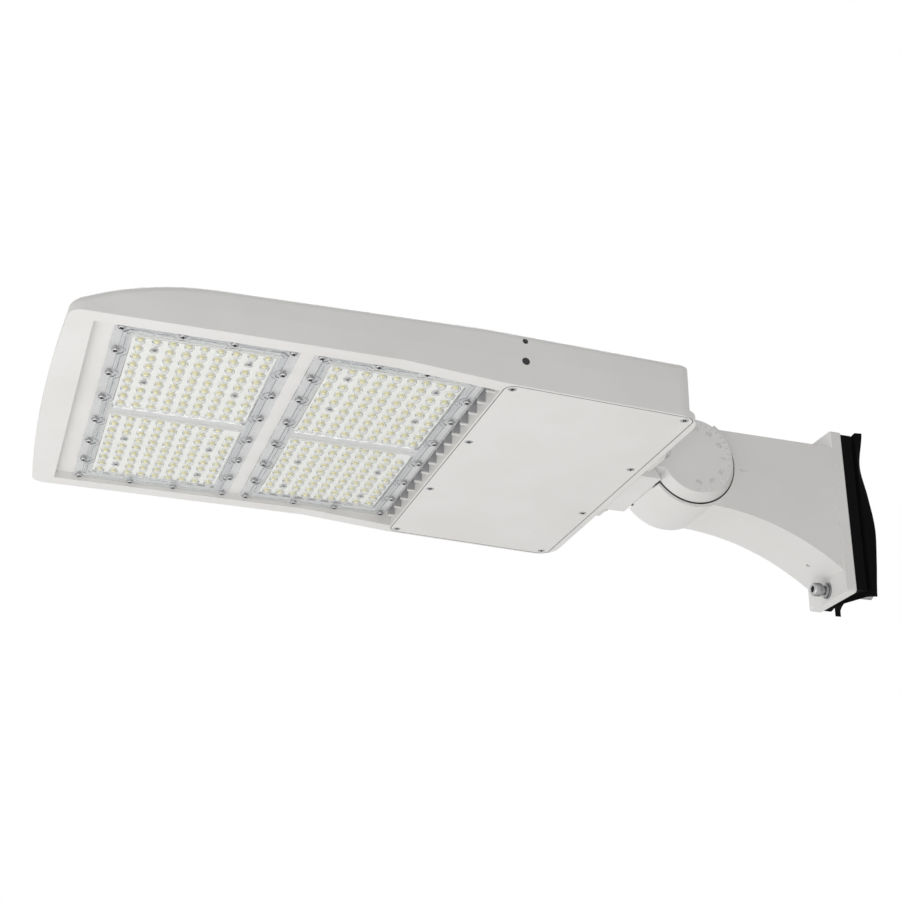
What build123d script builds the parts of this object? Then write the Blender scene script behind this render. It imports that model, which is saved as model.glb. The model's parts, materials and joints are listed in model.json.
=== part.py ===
from build123d import *
import os
from math import cos, radians, sin, sqrt, tan

# LED area light on a tilting cast arm for a round pole.
# Sizes are millimetres. +X runs along the arm into the pole and +Z is up. The origin lies on the pole's
# face, midway between the two pole bolts, so the lamp hangs out towards -X.

# Cast housing, seen from the side
front_rim = 25.4
front_bow = 6.4
rim_width = 15.5
rim_z = 10.5
rim_taper_length = 87.0
nose_length = 122.0
nose_radius = 245.0
nose_top_z = 49.0
crown_back = 17.0
crown_z = 54.0
rear_top_z = 49.8
rear_top_radius = 10.0
lip_depth = 8.0
lip_top_z = 6.0
lip_bottom_z = -1.1
front_corner_radius = 12.0
rear_corner_radius = 14.0
top_edge_radius = 7.0
side_crease_z = 29.0
side_draft_deg = 3.0

# Lamp recess, heat-sink fins and vents
recess_depth = 7.0
recess_front_gap = 16.6
floor_thickness = 4.5
fin_pitch = 11.2
fin_thickness = 3.0
fin_side_wall = 7.0
fin_start = 8.6
vent_width = 7.1
vent_rib = 2.2
vent_rib_z = 9.0
vent_corner = 2.0
side_hole_back = 17.3
side_holes = ((45.7, 2.5), (26.8, 3.5))
side_hole_depth = 6.0
side_plug_sink = 0.6

# Driver compartment and its cover
compartment_length = 169.5
box_front_z = 4.0
chamber_front_wall = 13.5
chamber_rear_wall = 12.0
roof_thickness = 3.3
cover_thickness = 2.5
cover_gasket_thickness = 1.5
cover_side_inset = 3.0
cover_front_inset = 2.0
cover_rear_overhang = 1.5
cover_ledge = 10.0
cover_corner_radius = 9.0
cover_screw_front = 6.6
cover_screw_rear = 7.5
cover_screw_side = 6.5
cover_screw_inner_y = 56.0
cover_screw_radius = 2.0
cover_screw_head_radius = 3.9
cover_screw_length = 12.0

# Lamp panels: clear lens sheets over boards with light-emitting chips
panel_margin_x = 15.2
panel_margin_y = 17.4
panel_gap = 1.0
panel_seam = 12.5
lens_flange = 2.5
lens_gasket = 1.5
lens_gasket_band = 4.0
lens_frame_height = 1.2
lens_zone_height = 0.7
lens_pocket = 2.0
scallop_radius = 6.5
zone_gap = 14.2
chip_pitch_x = 12.7
chip_pitch_y = 15.0
chip_side = 9
chip_size = 5.0
chip_height = 0.7
board_thickness = 1.6
board_margin = 7.0
dome_radius = 4.9
dome_height = 2.6
dome_taper_deg = 38.0
dome_sides = 6
panel_screw_edge_x = 5.3
panel_screw_edge_y = 6.1
panel_screw_inner_x = 20.4
panel_screw_inner_y = (23.6, 70.7, 113.0)
panel_screw_head_radius = 2.9
panel_screw_head_height = 2.2

# Knuckle between the housing and the arm
pivot_x = -174.4
pivot_z = 30.1
pivot_reach = 49.6
barrel_radius = 47.2
barrel_wall = 2.7
barrel_open_from_deg = 57.0
barrel_open_to_deg = 219.0
cheek_sink = 10.15
cheek_stand = 10.75
cheek_gap = 0.3
cheek_rim_gap = 1.0
cheek_taper_deg = 31.0
bracket_gasket_thickness = 1.5
bracket_plate = 18.0
bracket_half_width = 80.0
bracket_lip_gap = 0.5
bracket_top_z = 46.0
bracket_corner_radius = 8.0
tail_top_z = 46.5
tail_bottom_z = 7.2
neck_bottom_z = 1.0
relief_gap = 0.6
bracket_bolt_side = 12.0
bracket_bolt_low = 11.5
bracket_bolt_high = 8.5
bracket_bolt_end = 1.5
bolt_radius = 4.0
hex_across_flats = 13.0
hex_head_height = 5.3
washer_radius = 8.0
washer_thickness = 1.6
pivot_bolt_radius = 6.0
pivot_running_gap = 0.05
pivot_head_across_flats = 18.0
pivot_head_height = 7.5
pivot_washer_radius = 12.0
pivot_washer_thickness = 2.5
pivot_thread_skin = 6.5
gland_z = 28.0
gland_radius = 8.0
nut_thickness = 5.0

# Arm and its pole flange
arm_half_width = 31.75
arm_top_z = 65.8
arm_wall = 6.0
arch_radius = 240.0
arch_start_reach = 20.9
arch_start_drop = 43.1
arch_end_rise = 21.6
flange_thickness = 10.4
flange_lip = 2.05
flange_half_height = 82.9
flange_corner_radius = 3.0
wire_tunnel_radius = 7.0
wire_tunnel_drop = 18.8
drain_radius = 1.8
drain_back = 18.3
pole_bolt_edge = 10.9
pole_bolt_reach = 26.0
pole_bolt_slack = 4.0
pole_thread_start = 1.0
pole_thread_depth = 0.4
socket_head_radius = 6.5
socket_head_height = 8.0
socket_across_flats = 6.0
socket_depth = 4.0
key_room = 16.0
spring_washer_radius = 6.8
spring_washer_thickness = 2.4
spring_washer_slit = 1.2

# Rubber saddle between the flange and the pole
pole_radius = 50.8
saddle_wall = 5.0
saddle_plate = 7.0
saddle_merge = 0.7
saddle_side_inset = 0.8
saddle_overhang = 1.6
saddle_notch = 4.0
saddle_wire_radius = 13.0

# Electrical gear inside the driver compartment
driver_depth = 64.0
driver_height = 34.0
driver_rear_gap = 6.5
driver_side_gap = 7.0
driver_centre_gap = 5.0
driver_ear = 9.0
driver_ear_thickness = 3.0
case_edge_radius = 3.0
gear_back = 47.0
surge_size = (42.0, 62.0, 28.0)
surge_y = -80.0
terminal_size = (22.0, 48.0, 20.0)
terminal_y = 60.0
terminal_ways = 3
terminal_well = 7.0
terminal_port = 6.0
terminal_wall = 3.5

# Clearances, and how far a cutter runs past the face that it opens
seam_gap = 0.4
thread_gap = 0.1
bolt_clearance = 0.5
cut_over = 1.0
screw_sides = 12

# Heights and widths that follow from the sizes above
recess_floor_z = rim_z + recess_depth
floor_top_z = recess_floor_z + floor_thickness
lens_top_z = recess_floor_z - lens_gasket
lens_flange_z = lens_top_z - lens_flange
lens_frame_z = lens_flange_z - lens_frame_height
lens_zone_z = lens_frame_z - lens_zone_height
board_z = recess_floor_z - board_thickness
chamber_top_z = rear_top_z - roof_thickness
zone_half_x = (chip_side - 1) / 2 * chip_pitch_x + board_margin
zone_half_y = (chip_side - 1) / 2 * chip_pitch_y + board_margin
zone_y = zone_half_y + zone_gap / 2
panel_length = 2 * (zone_half_x + panel_margin_x)
panel_half_width = zone_y + zone_half_y + panel_margin_y
panel_screw_x = panel_length / 2 - panel_screw_edge_x
panel_screw_edge = panel_half_width - panel_screw_edge_y
recess_half_width = panel_half_width + panel_gap
half_width = recess_half_width + rim_width
cover_half_width = half_width - cover_side_inset
chamber_half_width = cover_half_width - cover_ledge
cover_seat = cover_thickness + cover_gasket_thickness
vent_pitch = 2 * fin_pitch
vent_count = int(2 * recess_half_width / vent_pitch) - 1
fin_gap_count = round(2 * (half_width - fin_side_wall) / fin_pitch)
body_top = crown_z + top_edge_radius
below = -2 * flange_half_height

# Places along the lamp, from the pivot out to the front
bracket_rear_x = pivot_x - pivot_reach
bracket_front_x = bracket_rear_x - bracket_plate
rear_wall_x = bracket_front_x - bracket_gasket_thickness
chamber_rear_x = rear_wall_x - chamber_rear_wall
lip_rear_x = rear_wall_x + lip_depth
box_front_x = rear_wall_x - compartment_length
vent_front_x = box_front_x - vent_width
rear_panel_x = vent_front_x - seam_gap - panel_length / 2
front_panel_x = rear_panel_x - panel_length - panel_seam
recess_front_x = front_panel_x - panel_length / 2 - recess_front_gap
fin_front_x = recess_front_x + fin_start
front_tip_x = recess_front_x - front_rim
nose_end_x = front_tip_x + nose_length
nose_front_z = nose_top_z - nose_radius + sqrt(nose_radius**2 - nose_length**2)
rim_bend_x = box_front_x - rim_taper_length
crown_x = box_front_x - crown_back
side_hole_x = box_front_x + side_hole_back
gear_x = box_front_x + gear_back
cover_rear_x = rear_wall_x + cover_rear_overhang
cover_screw_x = (box_front_x + cover_front_inset + cover_screw_front, cover_rear_x - cover_screw_rear)
cover_screw_y = (cover_screw_inner_y, cover_half_width - cover_screw_side)
cover_slope = (lip_bottom_z - box_front_z) / (lip_rear_x - box_front_x)
cover_plane = Plane(
    origin=(box_front_x, 0, box_front_z),
    x_dir=(lip_rear_x - box_front_x, 0, lip_bottom_z - box_front_z),
    z_dir=(box_front_z - lip_bottom_z, 0, lip_rear_x - box_front_x),
)
driver_x = chamber_rear_x - driver_rear_gap - driver_depth / 2
driver_length = chamber_half_width - driver_side_gap - driver_centre_gap
driver_y = driver_centre_gap + driver_length / 2

# Knuckle, arm and saddle
barrel_pocket_radius = barrel_radius - barrel_wall
cheek_radius = barrel_pocket_radius - cheek_rim_gap
cheek_face_y = arm_half_width + cheek_stand
hub_half_width = arm_half_width - cheek_sink
bracket_bottom_z = lip_top_z + bracket_lip_gap
bracket_bolt_y = bracket_half_width - bracket_bolt_side
bracket_bolt_z = (bracket_bottom_z + bracket_bolt_low, bracket_top_z - bracket_bolt_high)
pivot_thread_end_y = pivot_thread_skin - cheek_face_y
saddle_front_x = saddle_merge - saddle_plate - saddle_wall
flange_back_x = saddle_front_x
flange_front_x = flange_back_x - flange_thickness
flange_half_width = arm_half_width + flange_lip
arch_start = (pivot_x + arch_start_reach, pivot_z - arch_start_drop)
arch_end = (flange_front_x, arch_end_rise - flange_half_height)
duct_front_x = pivot_x + barrel_radius + arm_wall
wire_tunnel_z = arm_top_z - wire_tunnel_drop
drain_x = flange_front_x - drain_back
pole_bolt_z = flange_half_height - pole_bolt_edge
saddle_half_width = flange_half_width - saddle_side_inset
saddle_half_height = flange_half_height + saddle_overhang
saddle_plate_half_height = saddle_half_height - saddle_notch
pole_washer_seat = flange_front_x
spring_washer_seat = pole_washer_seat - washer_thickness
pole_head_x = spring_washer_seat - spring_washer_thickness - pole_bolt_slack

# Grid places without a chip: board screws on both boards, and the lead's corner on the far one
chip_skip = {-1: ((1, 1), (1, 5), (7, 1), (7, 5)), 1: ((1, 3), (1, 7), (7, 3), (7, 7), (8, 0))}


def block(x0, x1, y0, y1, z0, z1):
    """A box between two corners."""
    size = Box(abs(x1 - x0), abs(y1 - y0), abs(z1 - z0))
    return Pos((x0 + x1) / 2, (y0 + y1) / 2, (z0 + z1) / 2) * size


def rod_x(x0, x1, y, z, radius):
    """A round bar along X."""
    return Pos((x0 + x1) / 2, y, z) * Rot(0, 90, 0) * Cylinder(radius, abs(x1 - x0))


def rod_y(y0, y1, x, z, radius):
    """A round bar along Y."""
    return Pos(x, (y0 + y1) / 2, z) * Rot(90, 0, 0) * Cylinder(radius, abs(y1 - y0))


def rod_z(z0, z1, x, y, radius):
    """A round bar along Z."""
    return Pos(x, y, (z0 + z1) / 2) * Cylinder(radius, abs(z1 - z0))


def screw_bar(start, direction, length, radius):
    """A straight bar with a few flat sides, for small screws, plugs and their holes."""
    outline = Plane(start, z_dir=direction) * RegularPolygon(radius, screw_sides)
    return extrude(outline, length)


def hex_bar(start, direction, length, across_flats):
    """A six-sided bar, for bolt heads, nuts and sockets."""
    outline = Plane(start, z_dir=direction) * RegularPolygon(across_flats / 2, 6, major_radius=False)
    return extrude(outline, length)


def rim_height(x):
    """Height of the rim's underside at x."""
    if x < rim_bend_x:
        return rim_z
    if x < box_front_x:
        return rim_z + (box_front_z - rim_z) * (x - rim_bend_x) / rim_taper_length
    return box_front_z + cover_slope * (x - box_front_x)


def arch_point(x, offset=0.0):
    """A point on the arm's arched underside, moved into the metal by offset."""
    dx = arch_end[0] - arch_start[0]
    dz = arch_end[1] - arch_start[1]
    chord = sqrt(dx * dx + dz * dz)
    rise = sqrt(arch_radius**2 - chord**2 / 4)
    centre_x = (arch_start[0] + arch_end[0]) / 2 + rise * dz / chord
    centre_z = (arch_start[1] + arch_end[1]) / 2 - rise * dx / chord
    radius = arch_radius + offset
    return (x, centre_z + sqrt(radius**2 - (x - centre_x) ** 2))


def plan_outline(rear_x, corner_radius):
    """Plan of the housing: bowed front, straight sides, rounded corners."""
    corner_x = front_tip_x + front_bow
    front = ThreePointArc((corner_x, -half_width), (front_tip_x, 0), (corner_x, half_width))
    sides = Polyline(
        (corner_x, half_width), (rear_x, half_width), (rear_x, -half_width), (corner_x, -half_width)
    )
    face = make_face(front + sides)
    front_corners = face.vertices().sort_by(Axis.X)[:2]
    face = fillet(front_corners, front_corner_radius)
    return fillet(face.vertices().sort_by(Axis.X)[-2:], corner_radius)


def side_profile():
    """The housing from the side: arched nose, crowned top, rounded rear edge and sloping underside."""
    nose = RadiusArc((front_tip_x, nose_front_z), (nose_end_x, nose_top_z), nose_radius)
    rest = Polyline(
        (nose_end_x, nose_top_z),
        (crown_x, crown_z),
        (rear_wall_x, rear_top_z),
        (rear_wall_x, rim_height(rear_wall_x)),
        (box_front_x, box_front_z),
        (rim_bend_x, rim_z),
        (front_tip_x, rim_z),
        (front_tip_x, nose_front_z),
    )
    profile = make_face(nose + rest)
    rear_top = profile.vertices().sort_by_distance((rear_wall_x, rear_top_z))[0]
    return fillet(rear_top, rear_top_radius)


def side_wedge(side):
    """What the draft takes off one side above the crease."""
    rise = body_top - side_crease_z
    draft = rise * tan(radians(side_draft_deg))
    sliver = Polyline(
        (side * half_width, side_crease_z),
        (side * (half_width - draft), body_top),
        (side * (half_width + draft), body_top),
        close=True,
    )
    end_plane = Plane((front_tip_x, 0, 0), x_dir=(0, 1, 0), z_dir=(1, 0, 0))
    return extrude(end_plane * make_face(sliver), rear_wall_x - front_tip_x)


def runs_along_top(edge):
    """Whether an edge is a long one between the top and a drafted side."""
    middle = edge.center()
    at_side = abs(middle.Y) > half_width - 2 * top_edge_radius
    return at_side and middle.Z > side_crease_z + seam_gap and edge.length > 4 * top_edge_radius


def housing_shell():
    """The outside of the casting, with drafted sides and the lip under the rear wall."""
    body = extrude(Plane.XZ * side_profile(), half_width, both=True)
    plan = plan_outline(rear_wall_x, rear_corner_radius)
    body &= extrude(Pos(0, 0, below) * plan, body_top - below)
    for side in (-1, 1):
        body -= side_wedge(side)
    body = fillet(body.edges().filter_by(runs_along_top), top_edge_radius)
    lip_plan = plan_outline(lip_rear_x, rear_corner_radius + lip_depth)
    lip_side = Polyline(
        (chamber_rear_x, lip_top_z),
        (lip_rear_x, lip_top_z),
        (lip_rear_x, lip_bottom_z),
        (chamber_rear_x, rim_height(chamber_rear_x)),
        close=True,
    )
    lip = extrude(make_face(Plane.XZ * lip_side), half_width, both=True)
    lip &= extrude(Pos(0, 0, below) * lip_plan, body_top - below)
    return body + lip


def cover_outline(grow=0.0):
    """The cover's outline in its own sloping plane."""
    start = cover_front_inset
    end = (cover_rear_x - box_front_x) * sqrt(1 + cover_slope**2)
    length = end - start + 2 * grow
    shape = RectangleRounded(length, 2 * (cover_half_width + grow), cover_corner_radius + grow)
    return Pos((start + end) / 2, 0) * shape


def cover_screw_places():
    """Cover screws in the cover's plane: distance along the slope, and Y."""
    stretch = sqrt(1 + cover_slope**2)
    along = [(x - box_front_x) * stretch for x in cover_screw_x]
    return [(u, side * y) for u in along for y in cover_screw_y for side in (-1, 1)]


def cover_layer(sketch, start, thickness):
    """A layer parallel to the cover, start deep in the housing."""
    return extrude(cover_plane.offset(start) * sketch, thickness)


def chamber():
    """Room for the drivers, from the cover's seat to the housing's roof."""
    front = box_front_x + chamber_front_wall
    wide = chamber_half_width
    return block(front, chamber_rear_x, -wide, wide, below, chamber_top_z)


def bracket_bolt_places():
    """The four bolts in the bracket's plate."""
    return [(y, z) for y in (-bracket_bolt_y, bracket_bolt_y) for z in bracket_bolt_z]


def side_bar(side, depth, end_y, z, radius):
    """A bar into one side wall of the housing, from depth below its face out to end_y."""
    start = (side_hole_x, side * (half_width - depth), z)
    return screw_bar(start, (0, side, 0), end_y - half_width + depth, radius)


def fin_gaps():
    """The spaces between the cooling fins, which open into the vents at their rear end."""
    gaps = []
    half_gap = (fin_pitch - fin_thickness) / 2
    for index in range(fin_gap_count):
        y = (index - (fin_gap_count - 1) / 2) * fin_pitch
        gaps.append(block(fin_front_x, box_front_x, y - half_gap, y + half_gap, floor_top_z, body_top))
    return gaps


def vent_slots():
    """Slots through the recess floor along the driver compartment."""
    outline = Rectangle(vent_width, vent_pitch - vent_rib)
    outline = chamfer(outline.vertices(), vent_corner)
    slot = extrude(outline, floor_thickness + 2 * cut_over)
    x = (vent_front_x + box_front_x) / 2
    slots = []
    for index in range(vent_count):
        y = (index - (vent_count - 1) / 2) * vent_pitch
        slots.append(Pos(x, y, recess_floor_z - cut_over) * slot)
    return slots


def vent_ribs():
    """Thin ribs between the vents, down to the lens panel's level."""
    ribs = []
    for index in range(vent_count + 1):
        y = (index - vent_count / 2) * vent_pitch
        ribs.append(
            block(vent_front_x, box_front_x, y - vent_rib / 2, y + vent_rib / 2, vent_rib_z, recess_floor_z)
        )
    return ribs


def make_housing():
    """Die-cast housing: lamp recess below, cooling fins above, driver compartment at the rear."""
    body = housing_shell()
    body -= block(recess_front_x, box_front_x, -recess_half_width, recess_half_width, below, recess_floor_z)
    body -= fin_gaps()
    body -= vent_slots()
    body += vent_ribs()
    body -= chamber()
    body -= cover_layer(cover_outline(seam_gap), -cut_over, cover_seat + cut_over)
    pilot = RegularPolygon(cover_screw_radius, screw_sides)
    for u, y in cover_screw_places():
        body -= cover_layer(Pos(u, y) * pilot, cover_seat, cover_screw_length - cover_thickness)
    for y, z in bracket_bolt_places():
        tip = (chamber_rear_x + cut_over, y, z)
        body -= screw_bar(tip, (1, 0, 0), chamber_rear_wall, bolt_radius)
    body -= rod_x(chamber_rear_x - cut_over, rear_wall_x + cut_over, 0, gland_z, gland_radius)
    for z, radius in side_holes:
        for side in (-1, 1):
            body -= side_bar(side, side_hole_depth, half_width + cut_over, z, radius)
    return body


def make_side_plugs():
    """Plugs in the unused screw holes of the housing's sides, a little below the surface."""
    plugs = []
    for z, radius in side_holes:
        rise = max(0.0, z - side_crease_z)
        face_y = half_width - rise * tan(radians(side_draft_deg)) - side_plug_sink
        for side in (-1, 1):
            plugs.append(side_bar(side, side_hole_depth, face_y, z, radius - thread_gap))
    return plugs


def countersunk(wide, narrow):
    """The cone of a countersunk head, from the cover's outside to its inside."""
    rim = RegularPolygon(wide, screw_sides)
    neck = Pos(0, 0, cover_thickness) * RegularPolygon(narrow, screw_sides)
    return loft([rim, neck], ruled=True)


def make_cover():
    """Flat driver cover with countersunk screw holes and rounded corners."""
    plate = cover_layer(cover_outline(), 0, cover_thickness)
    sink = countersunk(cover_screw_head_radius, cover_screw_radius)
    for u, y in cover_screw_places():
        plate -= cover_plane * Pos(u, y, 0) * sink
    return plate


def make_cover_gasket():
    """Flat silicone ring under the cover's edge, pierced by the screws."""
    ring = cover_layer(cover_outline(), cover_thickness, cover_gasket_thickness) - chamber()
    hole = RegularPolygon(cover_screw_radius + bolt_clearance, screw_sides)
    for u, y in cover_screw_places():
        start = cover_thickness - cut_over
        ring -= cover_layer(Pos(u, y) * hole, start, cover_gasket_thickness + 2 * cut_over)
    return ring


def make_cover_screws():
    """Countersunk screws that hold the cover."""
    thread = cover_screw_radius - thread_gap
    screw = countersunk(cover_screw_head_radius - thread_gap, thread)
    screw += extrude(RegularPolygon(thread, screw_sides), cover_screw_length)
    return [cover_plane * Pos(u, y, 0) * screw for u, y in cover_screw_places()]


def chip_places(side):
    """Grid places of the chips in one zone, leaving out the board's screws and the lead's corner."""
    start = (chip_side - 1) / 2
    places = []
    for column in range(chip_side):
        for row in range(chip_side):
            if (column, row) in chip_skip[side]:
                continue
            places.append(((column - start) * chip_pitch_x, side * zone_y + (row - start) * chip_pitch_y))
    return places


def panel_screw_places():
    """Screws round one lens panel, about the panel's centre."""
    columns = panel_screw_inner_y + (panel_screw_edge,)
    corners = [(end, side) for end in (-1, 1) for side in (-1, 1)]
    places = [(end * panel_screw_x, side * y) for y in columns for end, side in corners]
    return places + [(end * panel_screw_inner_x, side * panel_screw_edge) for end, side in corners]


def lens_layer(x, sketch, z, thickness):
    """A layer of the lens panel at x, growing upwards from z."""
    return Pos(x, 0, z) * extrude(sketch, thickness)


def make_lens_panel(x):
    """Clear moulded sheet: flange, scalloped frame, two raised zones and a dome over each chip."""
    flange = RectangleRounded(panel_length, 2 * panel_half_width, scallop_radius)
    frame = Rectangle(2 * panel_screw_x - scallop_radius / 2, 2 * panel_screw_edge - scallop_radius / 2)
    scallop = RegularPolygon(scallop_radius, screw_sides)
    frame -= [Pos(*place) * scallop for place in panel_screw_places()]
    zone = Rectangle(2 * zone_half_x, 2 * zone_half_y)
    pocket = Rectangle(2 * (zone_half_x + seam_gap), 2 * (zone_half_y + seam_gap))
    panel = lens_layer(x, flange, lens_flange_z, lens_flange)
    panel += lens_layer(x, frame, lens_frame_z, lens_frame_height)
    dome = RegularPolygon(dome_radius, dome_sides)
    for side in (-1, 1):
        panel += lens_layer(x, Pos(0, side * zone_y) * zone, lens_zone_z, lens_zone_height)
        panel -= lens_layer(x, Pos(0, side * zone_y) * pocket, lens_top_z - lens_pocket, lens_pocket)
        domes = [Pos(*place) * dome for place in chip_places(side)]
        caps = extrude(Sketch() + domes, dome_height, taper=dome_taper_deg)
        panel += Pos(x, 0, lens_zone_z) * Rot(180, 0, 0) * mirror(caps, Plane.XZ)
    return panel


def make_lens_gasket(x):
    """Silicone ring between the lens flange and the recess floor, inside the line of screws."""
    outer_x = panel_screw_x - scallop_radius / 2
    outer_y = panel_screw_edge - scallop_radius / 2
    ring = Rectangle(2 * outer_x, 2 * outer_y)
    ring -= Rectangle(2 * (outer_x - lens_gasket_band), 2 * (outer_y - lens_gasket_band))
    return lens_layer(x, ring, lens_top_z, lens_gasket)


def make_panel_screws(x):
    """Heads of the screws along the lens panel's edge."""
    head = extrude(RegularPolygon(panel_screw_head_radius, screw_sides), panel_screw_head_height)
    z = lens_flange_z - panel_screw_head_height
    return [Pos(x + px, py, z) * head for px, py in panel_screw_places()]


def make_board(x, side):
    """Metal-core board that spreads the chips' heat into the recess floor."""
    board = Box(2 * zone_half_x, 2 * zone_half_y, board_thickness)
    return Pos(x, side * zone_y, board_z + board_thickness / 2) * board


def make_chips(x, side):
    """Light-emitting chips of one board."""
    chip = Box(chip_size, chip_size, chip_height)
    return [Pos(x + px, py, board_z - chip_height / 2) * chip for px, py in chip_places(side)]


def make_driver(side):
    """Constant-current driver: potted case with a mounting ear at each end."""
    case = Box(driver_depth, driver_length - 2 * driver_ear, driver_height)
    case = fillet(case.edges().filter_by(Axis.Y).sort_by(Axis.Z)[:2], case_edge_radius)
    ears = Box(driver_depth, driver_length, driver_ear_thickness)
    driver = Pos(0, 0, -driver_height / 2) * case + Pos(0, 0, -driver_ear_thickness / 2) * ears
    return Pos(driver_x, side * driver_y, chamber_top_z) * driver


def make_surge_protector():
    """Surge protector, a potted block with softened edges."""
    depth, length, height = surge_size
    body = Pos(gear_x, surge_y, chamber_top_z - height / 2) * Box(depth, length, height)
    return fillet(body.edges().filter_by(Axis.Z), case_edge_radius)


def make_terminal_block():
    """Terminal block with a screw well over each wire port."""
    depth, length, height = terminal_size
    bottom = chamber_top_z - height
    body = Pos(gear_x, terminal_y, chamber_top_z - height / 2) * Box(depth, length, height)
    well = Box(terminal_well, terminal_well, height - terminal_port - terminal_wall)
    port = Box(depth + cut_over, terminal_port, terminal_port)
    for index in range(terminal_ways):
        y = terminal_y + (index - (terminal_ways - 1) / 2) * length / terminal_ways
        body -= Pos(gear_x, y, bottom) * well
        body -= Pos(gear_x, y, chamber_top_z - terminal_wall - terminal_port / 2) * port
    return body


def bracket_sheet(x, thickness):
    """A sheet of the bracket plate's outline, from x backwards, with its bolt holes and the gland's hole."""
    mid_z = (bracket_bottom_z + bracket_top_z) / 2
    face = RectangleRounded(2 * bracket_half_width, bracket_top_z - bracket_bottom_z, bracket_corner_radius)
    plane = Plane((x, 0, mid_z), x_dir=(0, 1, 0), z_dir=(1, 0, 0))
    sheet = extrude(plane * face, thickness)
    for y, z in bracket_bolt_places():
        start = (x - cut_over, y, z)
        sheet -= screw_bar(start, (1, 0, 0), thickness + 2 * cut_over, bolt_radius + bolt_clearance)
    return sheet - rod_x(x - cut_over, x + thickness + cut_over, 0, gland_z, gland_radius + bolt_clearance)


def make_bracket():
    """Tilt bracket: plate on the housing's rear wall and a fork whose round cheeks straddle the hub."""
    neck = block(lip_rear_x + seam_gap, pivot_x, -cheek_face_y, cheek_face_y, neck_bottom_z, tail_top_z)
    neck -= rod_y(-half_width, half_width, pivot_x, pivot_z, barrel_radius + relief_gap)
    neck -= rod_x(bracket_front_x, pivot_x, 0, gland_z, gland_radius + bolt_clearance)
    body = bracket_sheet(bracket_front_x, bracket_plate) + neck
    inner_y = hub_half_width + cheek_gap
    outline = Pos(pivot_x, pivot_z) * Circle(cheek_radius)
    tail_middle = (pivot_x - pivot_reach / 2, (tail_bottom_z + tail_top_z) / 2)
    outline += Pos(*tail_middle) * Rectangle(pivot_reach, tail_top_z - tail_bottom_z)
    for side in (-1, 1):
        flip = outline if side < 0 else mirror(outline, Plane.XZ)
        straight = Plane((0, side * inner_y, 0), x_dir=(1, 0, 0), z_dir=(0, side, 0))
        body += extrude(straight * flip, arm_half_width - inner_y)
        tapered = Plane((0, side * arm_half_width, 0), x_dir=(1, 0, 0), z_dir=(0, side, 0))
        body += extrude(tapered * flip, cheek_stand, taper=cheek_taper_deg)
    bore = pivot_bolt_radius + pivot_running_gap
    return body - rod_y(pivot_thread_end_y, cheek_face_y + cut_over, pivot_x, pivot_z, bore)


def make_bracket_gasket():
    """Thin gasket between the bracket's plate and the housing."""
    return bracket_sheet(rear_wall_x, bracket_gasket_thickness)


def make_bracket_bolts():
    """Hexagon bolts that fasten the bracket to the housing."""
    bolts = []
    seat = bracket_rear_x + washer_thickness
    tip = chamber_rear_x + bracket_bolt_end
    for y, z in bracket_bolt_places():
        shank = screw_bar((tip, y, z), (1, 0, 0), seat - tip, bolt_radius - thread_gap)
        bolts.append(shank + hex_bar((seat, y, z), (1, 0, 0), hex_head_height, hex_across_flats))
    return bolts


def make_bracket_washers():
    """Flat washers under the bracket bolts."""
    washers = []
    for y, z in bracket_bolt_places():
        disc = screw_bar((bracket_rear_x, y, z), (1, 0, 0), washer_thickness, washer_radius)
        hole_start = (bracket_rear_x - cut_over, y, z)
        hole = screw_bar(hole_start, (1, 0, 0), washer_thickness + 2 * cut_over, bolt_radius + thread_gap)
        washers.append(disc - hole)
    return washers


def make_cable_gland():
    """Gland in the housing's rear wall where the supply lead comes in from the arm."""
    radius = gland_radius - thread_gap
    stem = rod_x(chamber_rear_x, bracket_rear_x, 0, gland_z, radius)
    nut_start = (chamber_rear_x - nut_thickness, 0, gland_z)
    nut = hex_bar(nut_start, (1, 0, 0), nut_thickness, 2 * gland_radius + nut_thickness)
    bore = rod_x(chamber_rear_x - nut_thickness - cut_over, bracket_rear_x + cut_over, 0, gland_z, radius / 2)
    return stem + nut - bore


def make_pivot_bolt():
    """Bolt through the far cheek and the hub into the near cheek: the tilt axis."""
    seat = cheek_face_y + pivot_washer_thickness
    shank = rod_y(pivot_thread_end_y + cut_over, seat, pivot_x, pivot_z, pivot_bolt_radius)
    return shank + hex_bar((pivot_x, seat, pivot_z), (0, 1, 0), pivot_head_height, pivot_head_across_flats)


def make_pivot_washer():
    """Thick washer under the pivot bolt's head."""
    end = cheek_face_y + pivot_washer_thickness
    disc = rod_y(cheek_face_y, end, pivot_x, pivot_z, pivot_washer_radius)
    hole = pivot_bolt_radius + thread_gap
    return disc - rod_y(cheek_face_y - cut_over, end + cut_over, pivot_x, pivot_z, hole)


def arm_outline():
    """Side view of the arm: flat top and arched underside."""
    arch = RadiusArc(arch_start, arch_end, arch_radius)
    rest = Polyline(
        arch_end,
        (flange_front_x, arm_top_z),
        (pivot_x, arm_top_z),
        (pivot_x, arch_start[1]),
        arch_start,
    )
    return make_face(Plane.XZ * (arch + rest))


def duct_outline():
    """The wire duct inside the arm, one wall thickness from the outside, open at the flange's back."""
    low = arch_point(duct_front_x, arm_wall)
    exit_point = arch_point(flange_front_x, arm_wall)
    arch = RadiusArc(low, exit_point, arch_radius + arm_wall)
    end_x = flange_back_x + cut_over
    rest = Polyline(
        exit_point,
        (end_x, exit_point[1]),
        (end_x, arm_top_z - arm_wall),
        (duct_front_x, arm_top_z - arm_wall),
        low,
    )
    return make_face(Plane.XZ * (arch + rest))


def on_barrel(angle_deg):
    """A point just outside the barrel, at an angle from the pivot."""
    reach = barrel_radius + arm_wall
    return (pivot_x + reach * cos(radians(angle_deg)), pivot_z + reach * sin(radians(angle_deg)))


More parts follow.
